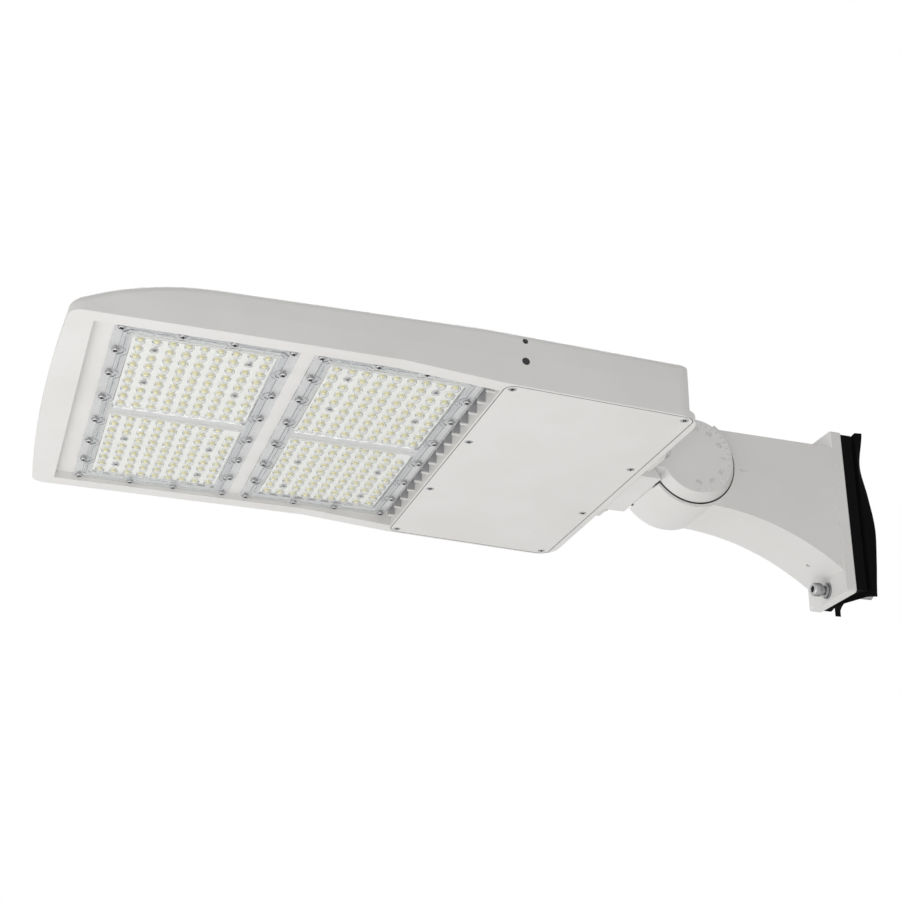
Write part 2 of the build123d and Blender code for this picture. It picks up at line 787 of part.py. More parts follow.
def barrel_opening():
    """Outline of the gap in the barrel's shell where the bracket's fork swings."""
    corner = 2 * barrel_radius
    outline = Polyline(
        (pivot_x, pivot_z),
        on_barrel(barrel_open_from_deg),
        (pivot_x, pivot_z + corner),
        (pivot_x - corner, pivot_z + corner),
        (pivot_x - corner, pivot_z - arm_wall),
        on_barrel(barrel_open_to_deg),
        close=True,
    )
    return make_face(Plane.XZ * outline)


def make_wire_way():
    """Path of the supply lead through the hub, from a window facing the gland to the duct in the arm."""
    window_x = pivot_x - pivot_bolt_radius - 2 * arm_wall
    half = 2 * wire_tunnel_radius
    top = wire_tunnel_z + wire_tunnel_radius
    window = block(pivot_x - 2 * barrel_radius, window_x, -half, half, pivot_z - half, top)
    tunnel = rod_x(window_x - cut_over, duct_front_x + cut_over, 0, wire_tunnel_z, wire_tunnel_radius)
    return window + tunnel


def make_arm():
    """Cast arm: barrel and hub at the knuckle, hollow arched beam, and the flange for the pole."""
    body = extrude(arm_outline(), arm_half_width, both=True)
    body += rod_y(-arm_half_width, arm_half_width, pivot_x, pivot_z, barrel_radius)
    flange = Box(flange_thickness, 2 * flange_half_width, 2 * flange_half_height)
    flange = fillet(flange.edges().filter_by(Axis.X), flange_corner_radius)
    body += Pos((flange_front_x + flange_back_x) / 2, 0, 0) * flange
    depth = cheek_sink + cut_over
    for side in (-1, 1):
        inner_y = side * hub_half_width
        body -= rod_y(inner_y, inner_y + side * depth, pivot_x, pivot_z, barrel_pocket_radius)
        body -= extrude(Pos(0, inner_y, 0) * barrel_opening(), -side * depth)
    body -= extrude(duct_outline(), arm_half_width - arm_wall, both=True)
    body -= rod_y(-half_width, half_width, pivot_x, pivot_z, pivot_bolt_radius + pivot_running_gap)
    body -= make_wire_way()
    key_end_x = pole_head_x - socket_head_height - key_room
    for z in (-pole_bolt_z, pole_bolt_z):
        body -= rod_x(flange_front_x - cut_over, flange_back_x + cut_over, 0, z, bolt_radius + bolt_clearance)
        body -= rod_x(key_end_x, flange_front_x, 0, z, washer_radius + bolt_clearance)
    return body - rod_z(arch_end[1], 0, drain_x, 0, drain_radius)


def make_saddle():
    """Rubber saddle: flat plate on the flange and two wings that bend round the pole."""
    plate = Pos(saddle_front_x + saddle_plate / 2, 0) * Rectangle(saddle_plate, 2 * saddle_half_width)
    wings = Pos(pole_radius, 0) * (Circle(pole_radius + saddle_wall) - Circle(pole_radius))
    reach = pole_radius - sqrt(pole_radius**2 - saddle_half_width**2)
    wings &= Pos((reach - saddle_wall) / 2, 0) * Rectangle(reach + saddle_wall, 2 * saddle_half_width)
    body = Pos(0, 0, -saddle_plate_half_height) * extrude(plate, 2 * saddle_plate_half_height)
    body += Pos(0, 0, -saddle_half_height) * extrude(wings, 2 * saddle_half_height)
    for z in (-pole_bolt_z, pole_bolt_z):
        body -= rod_x(saddle_front_x - cut_over, pole_radius, 0, z, bolt_radius + bolt_clearance)
    return body - rod_x(saddle_front_x - cut_over, pole_radius, 0, 0, saddle_wire_radius)


def make_pole_bolts():
    """Socket-head bolts that clamp the flange to the pole, thinner where the free thread begins."""
    bolts = []
    head_start = pole_head_x - socket_head_height
    for z in (-pole_bolt_z, pole_bolt_z):
        head = rod_x(head_start, pole_head_x, 0, z, socket_head_radius)
        head -= hex_bar((head_start, 0, z), (1, 0, 0), socket_depth, socket_across_flats)
        shank = rod_x(pole_head_x, pole_thread_start, 0, z, bolt_radius)
        thread = rod_x(pole_thread_start, pole_bolt_reach, 0, z, bolt_radius - pole_thread_depth)
        bolts.append(head + shank + thread)
    return bolts


def washer_x(seat, thickness, z, radius):
    """A washer round a pole bolt, in front of its seat."""
    disc = rod_x(seat - thickness, seat, 0, z, radius)
    return disc - rod_x(seat - thickness - cut_over, seat + cut_over, 0, z, bolt_radius + thread_gap)


def make_pole_washers():
    """Flat washers on the flange."""
    heights = (-pole_bolt_z, pole_bolt_z)
    return [washer_x(pole_washer_seat, washer_thickness, z, washer_radius) for z in heights]


def make_spring_washers():
    """Split spring washers between the flat washers and the bolt heads."""
    washers = []
    for z in (-pole_bolt_z, pole_bolt_z):
        ring = washer_x(spring_washer_seat, spring_washer_thickness, z, spring_washer_radius)
        slit = Box(2 * spring_washer_thickness, spring_washer_radius, spring_washer_slit)
        slit_x = spring_washer_seat - spring_washer_thickness / 2
        washers.append(ring - Pos(slit_x, spring_washer_radius / 2 + cut_over, z) * slit)
    return washers


def save(name, shape):
    """Write one node, a solid or a group of separate solids."""
    if isinstance(shape, list):
        shape = Compound(children=shape)
    export_step(shape, f"parts/{name}.step")


os.makedirs("parts", exist_ok=True)
save("housing", make_housing())
save("side_plugs", make_side_plugs())
save("driver_cover", make_cover())
save("driver_cover_gasket", make_cover_gasket())
save("driver_cover_screws", make_cover_screws())
for place, x in (("front", front_panel_x), ("rear", rear_panel_x)):
    save(f"lens_panel_{place}", make_lens_panel(x))
    save(f"lens_gasket_{place}", make_lens_gasket(x))
    save(f"lens_screws_{place}", make_panel_screws(x))
    for hand, side in (("near", -1), ("far", 1)):
        save(f"led_board_{place}_{hand}", make_board(x, side))
        save(f"led_chips_{place}_{hand}", make_chips(x, side))
for hand, side in (("near", -1), ("far", 1)):
    save(f"led_driver_{hand}", make_driver(side))
save("surge_protector", make_surge_protector())
save("terminal_block", make_terminal_block())
save("tilt_bracket", make_bracket())
save("bracket_gasket", make_bracket_gasket())
save("bracket_bolts", make_bracket_bolts())
save("bracket_washers", make_bracket_washers())
save("cable_gland", make_cable_gland())
save("pivot_bolt", make_pivot_bolt())
save("pivot_washer", make_pivot_washer())
save("arm", make_arm())
save("pole_saddle", make_saddle())
save("pole_bolts", make_pole_bolts())
save("pole_flat_washers", make_pole_washers())
save("pole_spring_washers", make_spring_washers())
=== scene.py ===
import json
import math

import bmesh
import bpy
from mathutils import Matrix, Vector


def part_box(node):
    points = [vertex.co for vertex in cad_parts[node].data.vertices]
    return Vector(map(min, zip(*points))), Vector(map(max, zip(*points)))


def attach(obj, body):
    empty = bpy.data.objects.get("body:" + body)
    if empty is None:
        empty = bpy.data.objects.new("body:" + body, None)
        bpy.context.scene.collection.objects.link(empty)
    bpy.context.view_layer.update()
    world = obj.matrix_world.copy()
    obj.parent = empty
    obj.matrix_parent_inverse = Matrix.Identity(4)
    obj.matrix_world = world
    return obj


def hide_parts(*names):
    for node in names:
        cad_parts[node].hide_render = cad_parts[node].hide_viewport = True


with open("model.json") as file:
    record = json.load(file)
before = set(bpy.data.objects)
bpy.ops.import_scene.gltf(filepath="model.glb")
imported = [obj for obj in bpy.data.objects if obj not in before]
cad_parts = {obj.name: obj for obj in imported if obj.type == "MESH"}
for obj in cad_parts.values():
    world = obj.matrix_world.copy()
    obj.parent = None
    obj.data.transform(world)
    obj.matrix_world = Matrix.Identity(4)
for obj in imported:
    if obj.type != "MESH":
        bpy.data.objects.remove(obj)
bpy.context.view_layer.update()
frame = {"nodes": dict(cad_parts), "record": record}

# An LED street light on its tilting arm, in metres, seen from below and from the lamp's near side.
# Real sizes are written in millimetres and turned to metres by MM.
MM = 0.001

# Camera: its place, the way it points, and its lens on a 36 mm sensor, for a square picture
CAMERA_PLACE = Vector((-0.8088, -1.2329, -0.5628))
CAMERA_YAW_DEG = 18.2
CAMERA_PITCH_DEG = 24.19
CAMERA_ROLL_DEG = 0.34
CAMERA_LENS_MM = 62.3

# Studio
FLOOR_Z = -1.15
FLOOR_SIZE = 30.0
WORLD_FILL = 0.45
FLOOR_GLOW = 0.7
FLOOR_GAP = 0.05
FLOOR_CLOUD_MM = 500.0

# Soft boxes: place, target, side in metres and power in watts
SOFT_BOXES = {
    "under_box": ((-0.8, -0.2, FLOOR_Z + FLOOR_GAP), (-0.45, 0.0, 0.0), 2.4, 21.0),
    "top_box": ((-0.2, 1.8, 2.2), (-0.4, 0.0, 0.0), 2.4, 40.0),
    "front_box": ((-0.9, -2.2, 0.4), (-0.4, 0.0, 0.0), 1.6, 3.0),
}

# Lamp panels, each with a near and a far board; some spots of the grid have a screw and one stays bare
HANDS = ("near", "far")
CHIP_PITCH = Vector((12.7, 15.0)) * MM
CHIP_SIDE = 9
BOARD_SCREW_SPOTS = {
    "near": ((1, 1), (1, 5), (7, 1), (7, 5)),
    "far": ((1, 3), (1, 7), (7, 3), (7, 7)),
}
BARE_CORNERS = {"near": (), "far": ((8, 0),)}
LENS_FLANGE = 2.5 * MM
LENS_FRAME = 1.2 * MM
ZONE_DEPTH = 1.8 * MM
SHEET_DEPTH = 0.8 * MM
FLANGE_CORNER = 6.5 * MM
SCALLOP_RADIUS = 6.5 * MM
SCALLOP_SHORT = 0.25
ZONE_CORNER = 2.5 * MM
ZONE_SLOPE = 0.5 * MM
DOME_RADIUS = 4.4 * MM
DOME_HEIGHT = 4.3 * MM
DOME_FOOT = 0.3 * MM
DOME_SEGMENTS = 24
DOME_RINGS = 7
CAVITY_RADIUS = 3.95 * MM
CAVITY_HEIGHT = 4.85 * MM
CAP_RADIUS = 3.9 * MM
CAP_HEIGHT = 2.5 * MM
CAP_CAVITY_RADIUS = 3.45 * MM
CAP_CAVITY_HEIGHT = 3.05 * MM
PACKAGE_HALF = 2.5 * MM
PACKAGE_BEVEL = 0.1 * MM
PACKAGE_HEIGHT = 0.45 * MM
BEAD_RADIUS = 2.9 * MM
BEAD_HEIGHT = 2.6 * MM
BEAD_SEGMENTS = 16
BEAD_RINGS = 4
SHANK_HOLE_RADIUS = 1.8 * MM
PANEL_SCREW_X = 67.7 * MM
PANEL_SCREW_INNER_X = 20.4 * MM
PANEL_SCREW_Y = tuple(y * MM for y in (23.6, 70.7, 113.0, 152.4))
ARC_STEPS = 10
RIDGE_STEPS = tuple(
    (inset * MM, groove * MM) for inset, groove in ((0.35, 0), (1.5, 0), (1.9, 0.5), (3.4, 0.5), (3.8, 0))
)

# Space inside the vents in front of the driver compartment, painted a darker grey as painted shade for the
# shade inside them
VENT_BOX = (Vector((-420.6, -155.0, 10.2)) * MM, Vector((-413.1, 155.0, 60.0)) * MM)

# Tilt axis, and the rims of the bracket's cheeks, painted near black up to just outside the arm's pockets:
# painted shade for the shadow in the gap round each cheek
PIVOT = Vector(frame["record"]["behaviour"]["joints"][0]["pos_m"])
CHEEK_RADIUS = 43.5 * MM
CHEEK_RIM_WITHIN = 0.4 * MM
SHADED_RIM_Y = 32.3 * MM

# Dark strip in the seam round the driver cover, painted shade for the shadow in its 0.4 mm gap, drawn wider
# than the gap so that it shows
COVER_CORNER = 9.0 * MM
SEAM_GAP = 0.42 * MM
SEAM_LAP = 0.12 * MM
SEAM_PROUD = 0.12 * MM
SEAM_DEPTH = 0.8 * MM
FLAT_WITHIN = 0.01 * MM

# Smooth shading ends at edges sharper than this, and points closer than this are one
SMOOTH_DEG = 40.0
SAME_WITHIN = 0.001 * MM

# Screws and bolts; the pan head's outline is in shares of its radius and height
ROUND_SEGMENTS = 32
SCREW_SEGMENTS = 20
PAN_HEAD_RADIUS = 3.2 * MM
PAN_HEAD_HEIGHT = 1.9 * MM
PAN_HEAD_SHAPE = ((1.0, 0.0), (1.0, 0.45), (0.93, 0.75), (0.82, 0.94), (0.72, 1.0))
SCREW_TURN_RAD = 0.7
SHANK_RADIUS = 1.4 * MM
SHANK_LENGTH = 4.0 * MM
BOARD_SCREW_SCALE = 0.85
SUNK_HEAD_RADIUS = 3.5 * MM
SUNK_HEAD_DEPTH = 1.9 * MM
SUNK_SHANK_RADIUS = 1.9 * MM
SUNK_SCREW_LENGTH = 12.0 * MM
CROSS_ARM = 2.1 * MM
CROSS_HALF_WIDTH = 0.7 * MM
CROSS_DEPTH = 1.4 * MM
BOLT_RADIUS = 4.0 * MM
HEX_ACROSS_FLATS = 13.0 * MM
PIVOT_ACROSS_FLATS = 18.0 * MM
PIVOT_RADIUS = 6.0 * MM
HEX_POINTS = 36
HEX_CHAMFER_SLOPE = 0.58
HEX_FACE_SHARE = 0.96
WASHER_RADIUS = 8.0 * MM
WASHER_HOLE_RADIUS = 4.2 * MM
EDGE_BREAK = 0.25 * MM
SOCKET_HEAD_RADIUS = 6.5 * MM
SOCKET_HEAD_LENGTH = 8.0 * MM
SOCKET_HEAD_CHAMFER = 1.0 * MM
SOCKET_ACROSS_FLATS = 6.0 * MM
SOCKET_DEPTH = 4.2 * MM
KNURL_TEETH = 40
KNURL_DEPTH = 0.35 * MM
THREAD_PITCH = 1.25 * MM
THREAD_DEPTH = 0.65 * MM
THREAD_LENGTH = 25.0 * MM
THREAD_STEPS = 24

# Rubber saddle: the pole that it hugs, how far its wings reach beside the pole, listed from bottom to
# top, and the shares of the wings' height at which its plate and its notch end
POLE_RADIUS = 50.8 * MM
WING_WALL = 5.0 * MM
WING_REACH = tuple(x * MM for x in (11.6, 13.6, 15.0, 12.6, 9.7, 13.1))
PLATE_EDGE_X = 1.4 * MM
NOTCH_ROOT = 0.5 * MM
WIRE_HOLE_RADIUS = 13.0 * MM
BOLT_HOLE_RADIUS = 4.5 * MM
PLATE_TOP = 0.95
NOTCH_TOP = 0.93
SADDLE_LEVELS = 48
SADDLE_STEPS = 14
SADDLE_ROUND = 1.0 * MM

# Raised marks on the knuckle
MARK_RISE = 0.5 * MM
MARK_SINK = 0.05 * MM
TICK_HALF_WIDTH = 0.45 * MM
TICK_STEP_DEG = 10
TICK_INNER = 32.0 * MM
TICK_OUTER = 35.8 * MM
NUMBER_STEP_DEG = 30
NUMBER_RADIUS = 27.0 * MM
NUMBER_SIZE = 6.5 * MM
NUMBER_CURVE_STEPS = 3
SCALE_REACH_DEG = 90
ARM_HALF_WIDTH = 31.75 * MM
ARROW_TIP = Vector((-124.5, 26.0)) * MM
ARROW_LENGTH = 9.0 * MM
ARROW_BARB = 3.2 * MM
ARROW_BARB_DEG = 35.0


def linear(hex_colour):
    """A colour written as sRGB hex, turned to linear light."""
    levels = [int(hex_colour[i:i + 2], 16) / 255 for i in (1, 3, 5)]
    return [c / 12.92 if c <= 0.04045 else ((c + 0.055) / 1.055) ** 2.4 for c in levels] + [1.0]


def per_mm(size_mm):
    """Texture scale whose pattern repeats about every size_mm."""
    return 1.0 / (size_mm * MM)


def add_node(tree, kind, inputs=None, **settings):
    """Adds a shader node, sets its properties, and fills its inputs with values or links."""
    node = tree.nodes.new(kind)
    for name, value in settings.items():
        setattr(node, name, value)
    for name, value in (inputs or {}).items():
        if isinstance(value, bpy.types.NodeSocket):
            tree.links.new(value, node.inputs[name])
        else:
            node.inputs[name].default_value = value
    return node


def start_material(name, **sockets):
    """A material whose surface shader has the given constant values."""
    material = bpy.data.materials.new(name)
    material.use_nodes = True
    tree = material.node_tree
    shader = tree.nodes["Principled BSDF"]
    for key, value in sockets.items():
        shader.inputs[key.replace("_", " ")].default_value = value
    place = add_node(tree, "ShaderNodeTexCoord").outputs["Object"]
    return material, tree, shader, place


# Materials


def in_vents(tree, place):
    """A value that is 1 inside the housing's vents and 0 elsewhere: the mask of the painted shade there."""
    low, high = VENT_BOX
    half = (high - low) / 2
    offset = add_node(tree, "ShaderNodeVectorMath", {0: place, 1: (low + high) / 2}, operation="SUBTRACT")
    share = add_node(tree, "ShaderNodeVectorMath", {0: offset.outputs[0], 1: half}, operation="DIVIDE")
    size = add_node(tree, "ShaderNodeVectorMath", {0: share.outputs[0]}, operation="ABSOLUTE")
    axes = add_node(tree, "ShaderNodeSeparateXYZ", {0: size.outputs[0]}).outputs
    wide = add_node(tree, "ShaderNodeMath", {0: axes["X"], 1: axes["Y"]}, operation="MAXIMUM")
    most = add_node(tree, "ShaderNodeMath", {0: wide.outputs[0], 1: axes["Z"]}, operation="MAXIMUM")
    return add_node(tree, "ShaderNodeMath", {0: most.outputs[0], 1: 1.0}, operation="LESS_THAN").outputs[0]


def on_cheek_rims(tree, place):
    """A value that is 1 where the rims of the bracket's cheeks turn in the arm's round pockets: the mask of
    the painted shade that stands for the shadow in the gap round each cheek.
    """
    offset = add_node(tree, "ShaderNodeVectorMath", {0: place, 1: PIVOT}, operation="SUBTRACT").outputs[0]
    level = add_node(tree, "ShaderNodeVectorMath", {0: offset, 1: (1, 0, 1)}, operation="MULTIPLY")
    radius = add_node(tree, "ShaderNodeVectorMath", {0: level.outputs[0]}, operation="LENGTH")
    values = {0: radius.outputs["Value"], 1: CHEEK_RADIUS, 2: CHEEK_RIM_WITHIN}
    rim = add_node(tree, "ShaderNodeMath", values, operation="COMPARE").outputs[0]
    across = add_node(tree, "ShaderNodeSeparateXYZ", {0: place}).outputs["Y"]
    reach = add_node(tree, "ShaderNodeMath", {0: across}, operation="ABSOLUTE").outputs[0]
    inner = add_node(tree, "ShaderNodeMath", {0: reach, 1: SHADED_RIM_Y}, operation="LESS_THAN").outputs[0]
    return add_node(tree, "ShaderNodeMath", {0: rim, 1: inner}, operation="MULTIPLY").outputs[0]


def powder_coat(name="white_powder_coat", painted_shade=None, shade_colour=None):
    """Satin white polyester powder on cast aluminium: a faint orange peel, edges painted paler as a painted
    highlight, and painted shade in a darker colour where a mask is given."""
    material, tree, shader, place = start_material(name, Roughness=0.42, IOR=1.5)
    peel = add_node(tree, "ShaderNodeTexNoise", {"Vector": place, "Scale": per_mm(1.6), "Detail": 3.0})
    cloud = add_node(tree, "ShaderNodeTexNoise", {"Vector": place, "Scale": per_mm(90.0), "Detail": 4.0})
    tone = add_node(tree, "ShaderNodeValToRGB", {"Fac": cloud.outputs["Fac"]})
    for element, position, tint in zip(tone.color_ramp.elements, (0.3, 0.7), ("#E3E1DF", "#E9E8E7")):
        element.position = position
        element.color = linear(tint)
    # Painted highlight: along edges, where the bevelled normal turns from the true one, the colour is mixed
    # towards a paler white.
    rounded = add_node(tree, "ShaderNodeBevel", {"Radius": 0.7 * MM}, samples=4)
    flat = add_node(tree, "ShaderNodeNewGeometry")
    straight = add_node(
        tree,
        "ShaderNodeVectorMath",
        {0: rounded.outputs["Normal"], 1: flat.outputs["Normal"]},
        operation="DOT_PRODUCT",
    )
    edge = add_node(
        tree, "ShaderNodeMapRange", {"Value": straight.outputs["Value"], "From Min": 0.97, "From Max": 0.8}
    )
    colour = add_node(
        tree,
        "ShaderNodeMix",
        {"Factor": edge.outputs["Result"], "A": tone.outputs["Color"], "B": linear("#EDECEB")},
        data_type="RGBA",
    )
    # Painted shade: where the mask is 1, the colour turns to the darker shade colour.
    if painted_shade:
        colour = add_node(
            tree,
            "ShaderNodeMix",
            {"Factor": painted_shade(tree, place), "A": colour.outputs["Result"], "B": linear(shade_colour)},
            data_type="RGBA",
        )
    values = {"Height": peel.outputs["Fac"], "Strength": 0.12, "Distance": 0.05 * MM}
    bump = add_node(tree, "ShaderNodeBump", {**values, "Normal": rounded.outputs["Normal"]})
    tree.links.new(colour.outputs["Result"], shader.inputs["Base Color"])
    tree.links.new(bump.outputs["Normal"], shader.inputs["Normal"])
    return material


def clear_polycarbonate(name, tint):
    """Injection-moulded clear polycarbonate: glossy, with a barely uneven skin, and a little milky over the
    white board. Its thin domes bend what is behind them less than a solid block would, so its IOR is lower
    than the plastic's own 1.58. A greyer tint given to it, as on the flange, is painted shade for the shade
    under the flange."""
    material, tree, shader, place = start_material(
        name, Roughness=0.03, IOR=1.3, Transmission_Weight=0.88, Base_Color=linear(tint)
    )
    flow = add_node(tree, "ShaderNodeTexNoise", {"Vector": place, "Scale": per_mm(14.0), "Detail": 2.0})
    bump = add_node(
        tree, "ShaderNodeBump", {"Height": flow.outputs["Fac"], "Strength": 0.05, "Distance": 0.1 * MM}
    )
    tree.links.new(bump.outputs["Normal"], shader.inputs["Normal"])
    return material


def mottled(name, dark, pale, size_mm, detail, relief=None, **sockets):
    """A material that drifts between two tones in clouds about size_mm wide, and that has relief in the same
    clouds where its strength and height in mm are given."""
    material, tree, shader, place = start_material(name, **sockets)
    pattern = {"Vector": place, "Scale": per_mm(size_mm), "Detail": detail}
    cloud = add_node(tree, "ShaderNodeTexNoise", pattern)
    tone = add_node(tree, "ShaderNodeValToRGB", {"Fac": cloud.outputs["Fac"]})
    for element, colour in zip(tone.color_ramp.elements, (dark, pale)):
        element.color = linear(colour)
    tree.links.new(tone.outputs["Color"], shader.inputs["Base Color"])
    if relief:
        strength, height = relief
        values = {"Height": cloud.outputs["Fac"], "Strength": strength, "Distance": height * MM}
        bump = add_node(tree, "ShaderNodeBump", values)
        tree.links.new(bump.outputs["Normal"], shader.inputs["Normal"])
    return material


def solder_mask():
    """White solder mask printed on an aluminium-core board: smooth, faintly mottled."""
    return mottled("white_solder_mask", "#E9E8E2", "#F4F4F0", size_mm=6.0, detail=3.0, Roughness=0.35)


def ceramic():
    """Fired white ceramic of the chip's package: matt and even, its grain drawn coarse enough to show."""
    return mottled("white_ceramic", "#E6E4DC", "#F2F1EC", size_mm=0.4, detail=2.0, Roughness=0.55)


def phosphor():
    """Phosphor in silicone over the chip: a soft, pale yellow, its grains drawn coarse enough to show."""
    return mottled("phosphor_silicone", "#E3D990", "#F2EBBB", size_mm=0.5, detail=3.0, Roughness=0.3)


def silicone(name, dark, pale):
    """Pressed silicone: matt, slightly cloudy."""
    return mottled(name, dark, pale, size_mm=5.0, detail=3.0, Roughness=0.7)


def moulded_rubber():
    """Black compression-moulded rubber: near black and dull, its grain drawn coarse enough to show."""
    return mottled(
        "black_moulded_rubber",
        "#020202",
        "#070708",
        size_mm=1.2,
        detail=4.0,
        relief=(0.3, 0.1),
        Roughness=0.85,
        Specular_IOR_Level=0.1,
    )


def stainless_steel():
    """Cold-headed stainless steel: bright, with a fine grain in its relief and its gloss, and painted shade
    that darkens it in its recesses and grooves."""
    material, tree, shader, place = start_material("stainless_steel", Metallic=1.0)
    # Painted shade: where ambient occlusion finds other surfaces within 2 mm, in recesses, grooves and gaps
    # between parts, the colour darkens towards near black.
    open_air = add_node(tree, "ShaderNodeAmbientOcclusion", {"Distance": 2.0 * MM}, samples=4)
    unshaded = add_node(
        tree, "ShaderNodeMapRange", {"Value": open_air.outputs["AO"], "From Min": 0.3, "From Max": 1.0}
    )
    colour = add_node(
        tree,
        "ShaderNodeMix",
        {"Factor": unshaded.outputs["Result"], "A": linear("#2B2B2C"), "B": linear("#B2B2B3")},
        data_type="RGBA",
    )
    grain = add_node(tree, "ShaderNodeTexNoise", {"Vector": place, "Scale": per_mm(0.8), "Detail": 4.0})
    gloss = add_node(
        tree, "ShaderNodeMapRange", {"Value": grain.outputs["Fac"], "To Min": 0.22, "To Max": 0.42}
    )
    rounded = add_node(tree, "ShaderNodeBevel", {"Radius": 0.25 * MM}, samples=4)
    values = {"Height": grain.outputs["Fac"], "Strength": 0.1, "Distance": 0.03 * MM}
    bump = add_node(tree, "ShaderNodeBump", {**values, "Normal": rounded.outputs["Normal"]})
    tree.links.new(colour.outputs["Result"], shader.inputs["Base Color"])
    tree.links.new(gloss.outputs["Result"], shader.inputs["Roughness"])
    tree.links.new(bump.outputs["Normal"], shader.inputs["Normal"])
    return material


def plain_aluminium():
    """Drawn aluminium of the driver cases: dull grey, its gloss uneven in patches a few millimetres wide."""
    grey = linear("#B9BBBD")
    material, tree, shader, place = start_material("drawn_aluminium", Metallic=1.0, Base_Color=grey)
    patches = add_node(tree, "ShaderNodeTexNoise", {"Vector": place, "Scale": per_mm(3.0), "Detail": 3.0})
    gloss = add_node(
        tree, "ShaderNodeMapRange", {"Value": patches.outputs["Fac"], "To Min": 0.35, "To Max": 0.55}
    )
    tree.links.new(gloss.outputs["Result"], shader.inputs["Roughness"])
    return material


def black_nylon():
    """Moulded black nylon: dark and satin, its spark texture drawn as a mottle coarse enough to show."""
    return mottled("black_nylon", "#151617", "#222324", size_mm=0.9, detail=3.0, Roughness=0.5)


MATERIALS = {
    "powder_coat": powder_coat(),
    "lens": clear_polycarbonate("clear_polycarbonate", "#F8F9FA"),
    "board": solder_mask(),
    "phosphor": phosphor(),
    "seal": silicone("pale_silicone", "#DEE0E2", "#E8EAEC"),
    "saddle_rubber": moulded_rubber(),
    "screw_steel": stainless_steel(),
    "driver_case": plain_aluminium(),
    "black_plastic": black_nylon(),
}
PACKAGE = ceramic()
# Greyer copy of the lens for its flange: painted shade for the shade under the flange.
SHADED_LENS = clear_polycarbonate("clear_polycarbonate_painted_shade", "#D3D5D7")
# Dark silicone for the gaskets and the cover seam: painted shade for the shadow lines in the seams.
SEAM_SHADE_SEAL = silicone("silicone_painted_seam_shade", "#414142", "#4E4E50")
NODE_MATERIALS = {
    # Painted shade: grey inside the housing's vents.
    "housing": powder_coat("white_powder_coat_painted_shade_in_vents", in_vents, "#AAAAAD"),
    # Painted shade: near black on the cheek rims in the arm's pockets.
    "tilt_bracket": powder_coat("white_powder_coat_painted_shade_on_cheek_rims", on_cheek_rims, "#343334"),
    "driver_cover_gasket": SEAM_SHADE_SEAL,
    "bracket_gasket": SEAM_SHADE_SEAL,
}


# Mesh helpers


def add_ring(bm, points):
    """A closed loop of vertices and edges through the points."""
    ring = [bm.verts.new(point) for point in points]
    for here, after in zip(ring, ring[1:] + ring[:1]):
        bm.edges.new((here, after))
    return ring


def bridge(bm, ring_a, ring_b):
    """Quads between two loops of equal count."""
    count = len(ring_a)
    for i in range(count):
        j = (i + 1) % count
        bm.faces.new((ring_a[i], ring_a[j], ring_b[j], ring_b[i]))


def fill(bm, *rings):
    """Flat faces inside the first loop, leaving the other loops open."""
    edges = []
    for ring in rings:
        for here, after in zip(ring, ring[1:] + ring[:1]):
            edges.append(bm.edges.get((here, after)) or bm.edges.new((here, after)))
    bmesh.ops.triangle_fill(bm, edges=edges, use_beauty=True)


def circle(centre, radius, z, segments):
    """Points of a level circle."""
    turn = 2 * math.pi / segments
    return [
        Vector((centre[0] + radius * math.cos(i * turn), centre[1] + radius * math.sin(i * turn), z))
        for i in range(segments)
    ]


def rounded_rectangle(centre, half_x, half_y, radius, z):
    """Points of a level rectangle with round corners."""
    points = []
    for quarter in range(4):
        sx = (1, -1, -1, 1)[quarter]
        sy = (1, 1, -1, -1)[quarter]
        for step in range(ARC_STEPS + 1):
            angle = (quarter + step / ARC_STEPS) * math.pi / 2
            x = centre[0] + sx * (half_x - radius) + radius * math.cos(angle)
            y = centre[1] + sy * (half_y - radius) + radius * math.sin(angle)
            points.append(Vector((x, y, z)))
    return points


def add_solid(bm, matrix, outlines, recess=(), depth=0.0, hollow=False):
    """A solid through outlines of equal count, along local Z. Its ends are closed, with a recess sunk into
    the last one, or it is hollow and its last outline joins its first."""
    rings = [add_ring(bm, [matrix @ point for point in outline]) for outline in outlines]
    for lower, upper in zip(rings, rings[1:]):
        bridge(bm, lower, upper)
    if hollow:
        bridge(bm, rings[-1], rings[0])
        return
    fill(bm, rings[0])
    mouth = [add_ring(bm, [matrix @ point for point in recess])] if recess else []
    fill(bm, rings[-1], *mouth)
    for ring in mouth:
        floor = add_ring(bm, [matrix @ (point - Vector((0, 0, depth))) for point in recess])
        bridge(bm, ring, floor)
        fill(bm, floor)


def turned(profile, segments=ROUND_SEGMENTS):
    """Round outlines for add_solid from (radius, height) pairs."""
    return [circle((0, 0), radius, z, segments) for radius, z in profile]


def cut(bm, cutter):
    """What is left of a closed mesh after a closed cutter is taken out of it."""
    parts = []
    for source in (bm, cutter):
        bmesh.ops.recalc_face_normals(source, faces=source.faces)
        mesh = bpy.data.meshes.new("cut")
        source.to_mesh(mesh)
        source.free()
        parts.append(bpy.data.objects.new("cut", mesh))
        bpy.context.scene.collection.objects.link(parts[-1])
    boolean = parts[0].modifiers.new("cut", "BOOLEAN")
    boolean.object = parts[1]
    boolean.operation = "DIFFERENCE"
    boolean.solver = "EXACT"
    shape = parts[0].evaluated_get(bpy.context.evaluated_depsgraph_get())
    left = bmesh.new()
    left.from_mesh(shape.to_mesh())
    for part in parts:
        mesh = part.data
        bpy.data.objects.remove(part)
        bpy.data.meshes.remove(mesh)
    return left


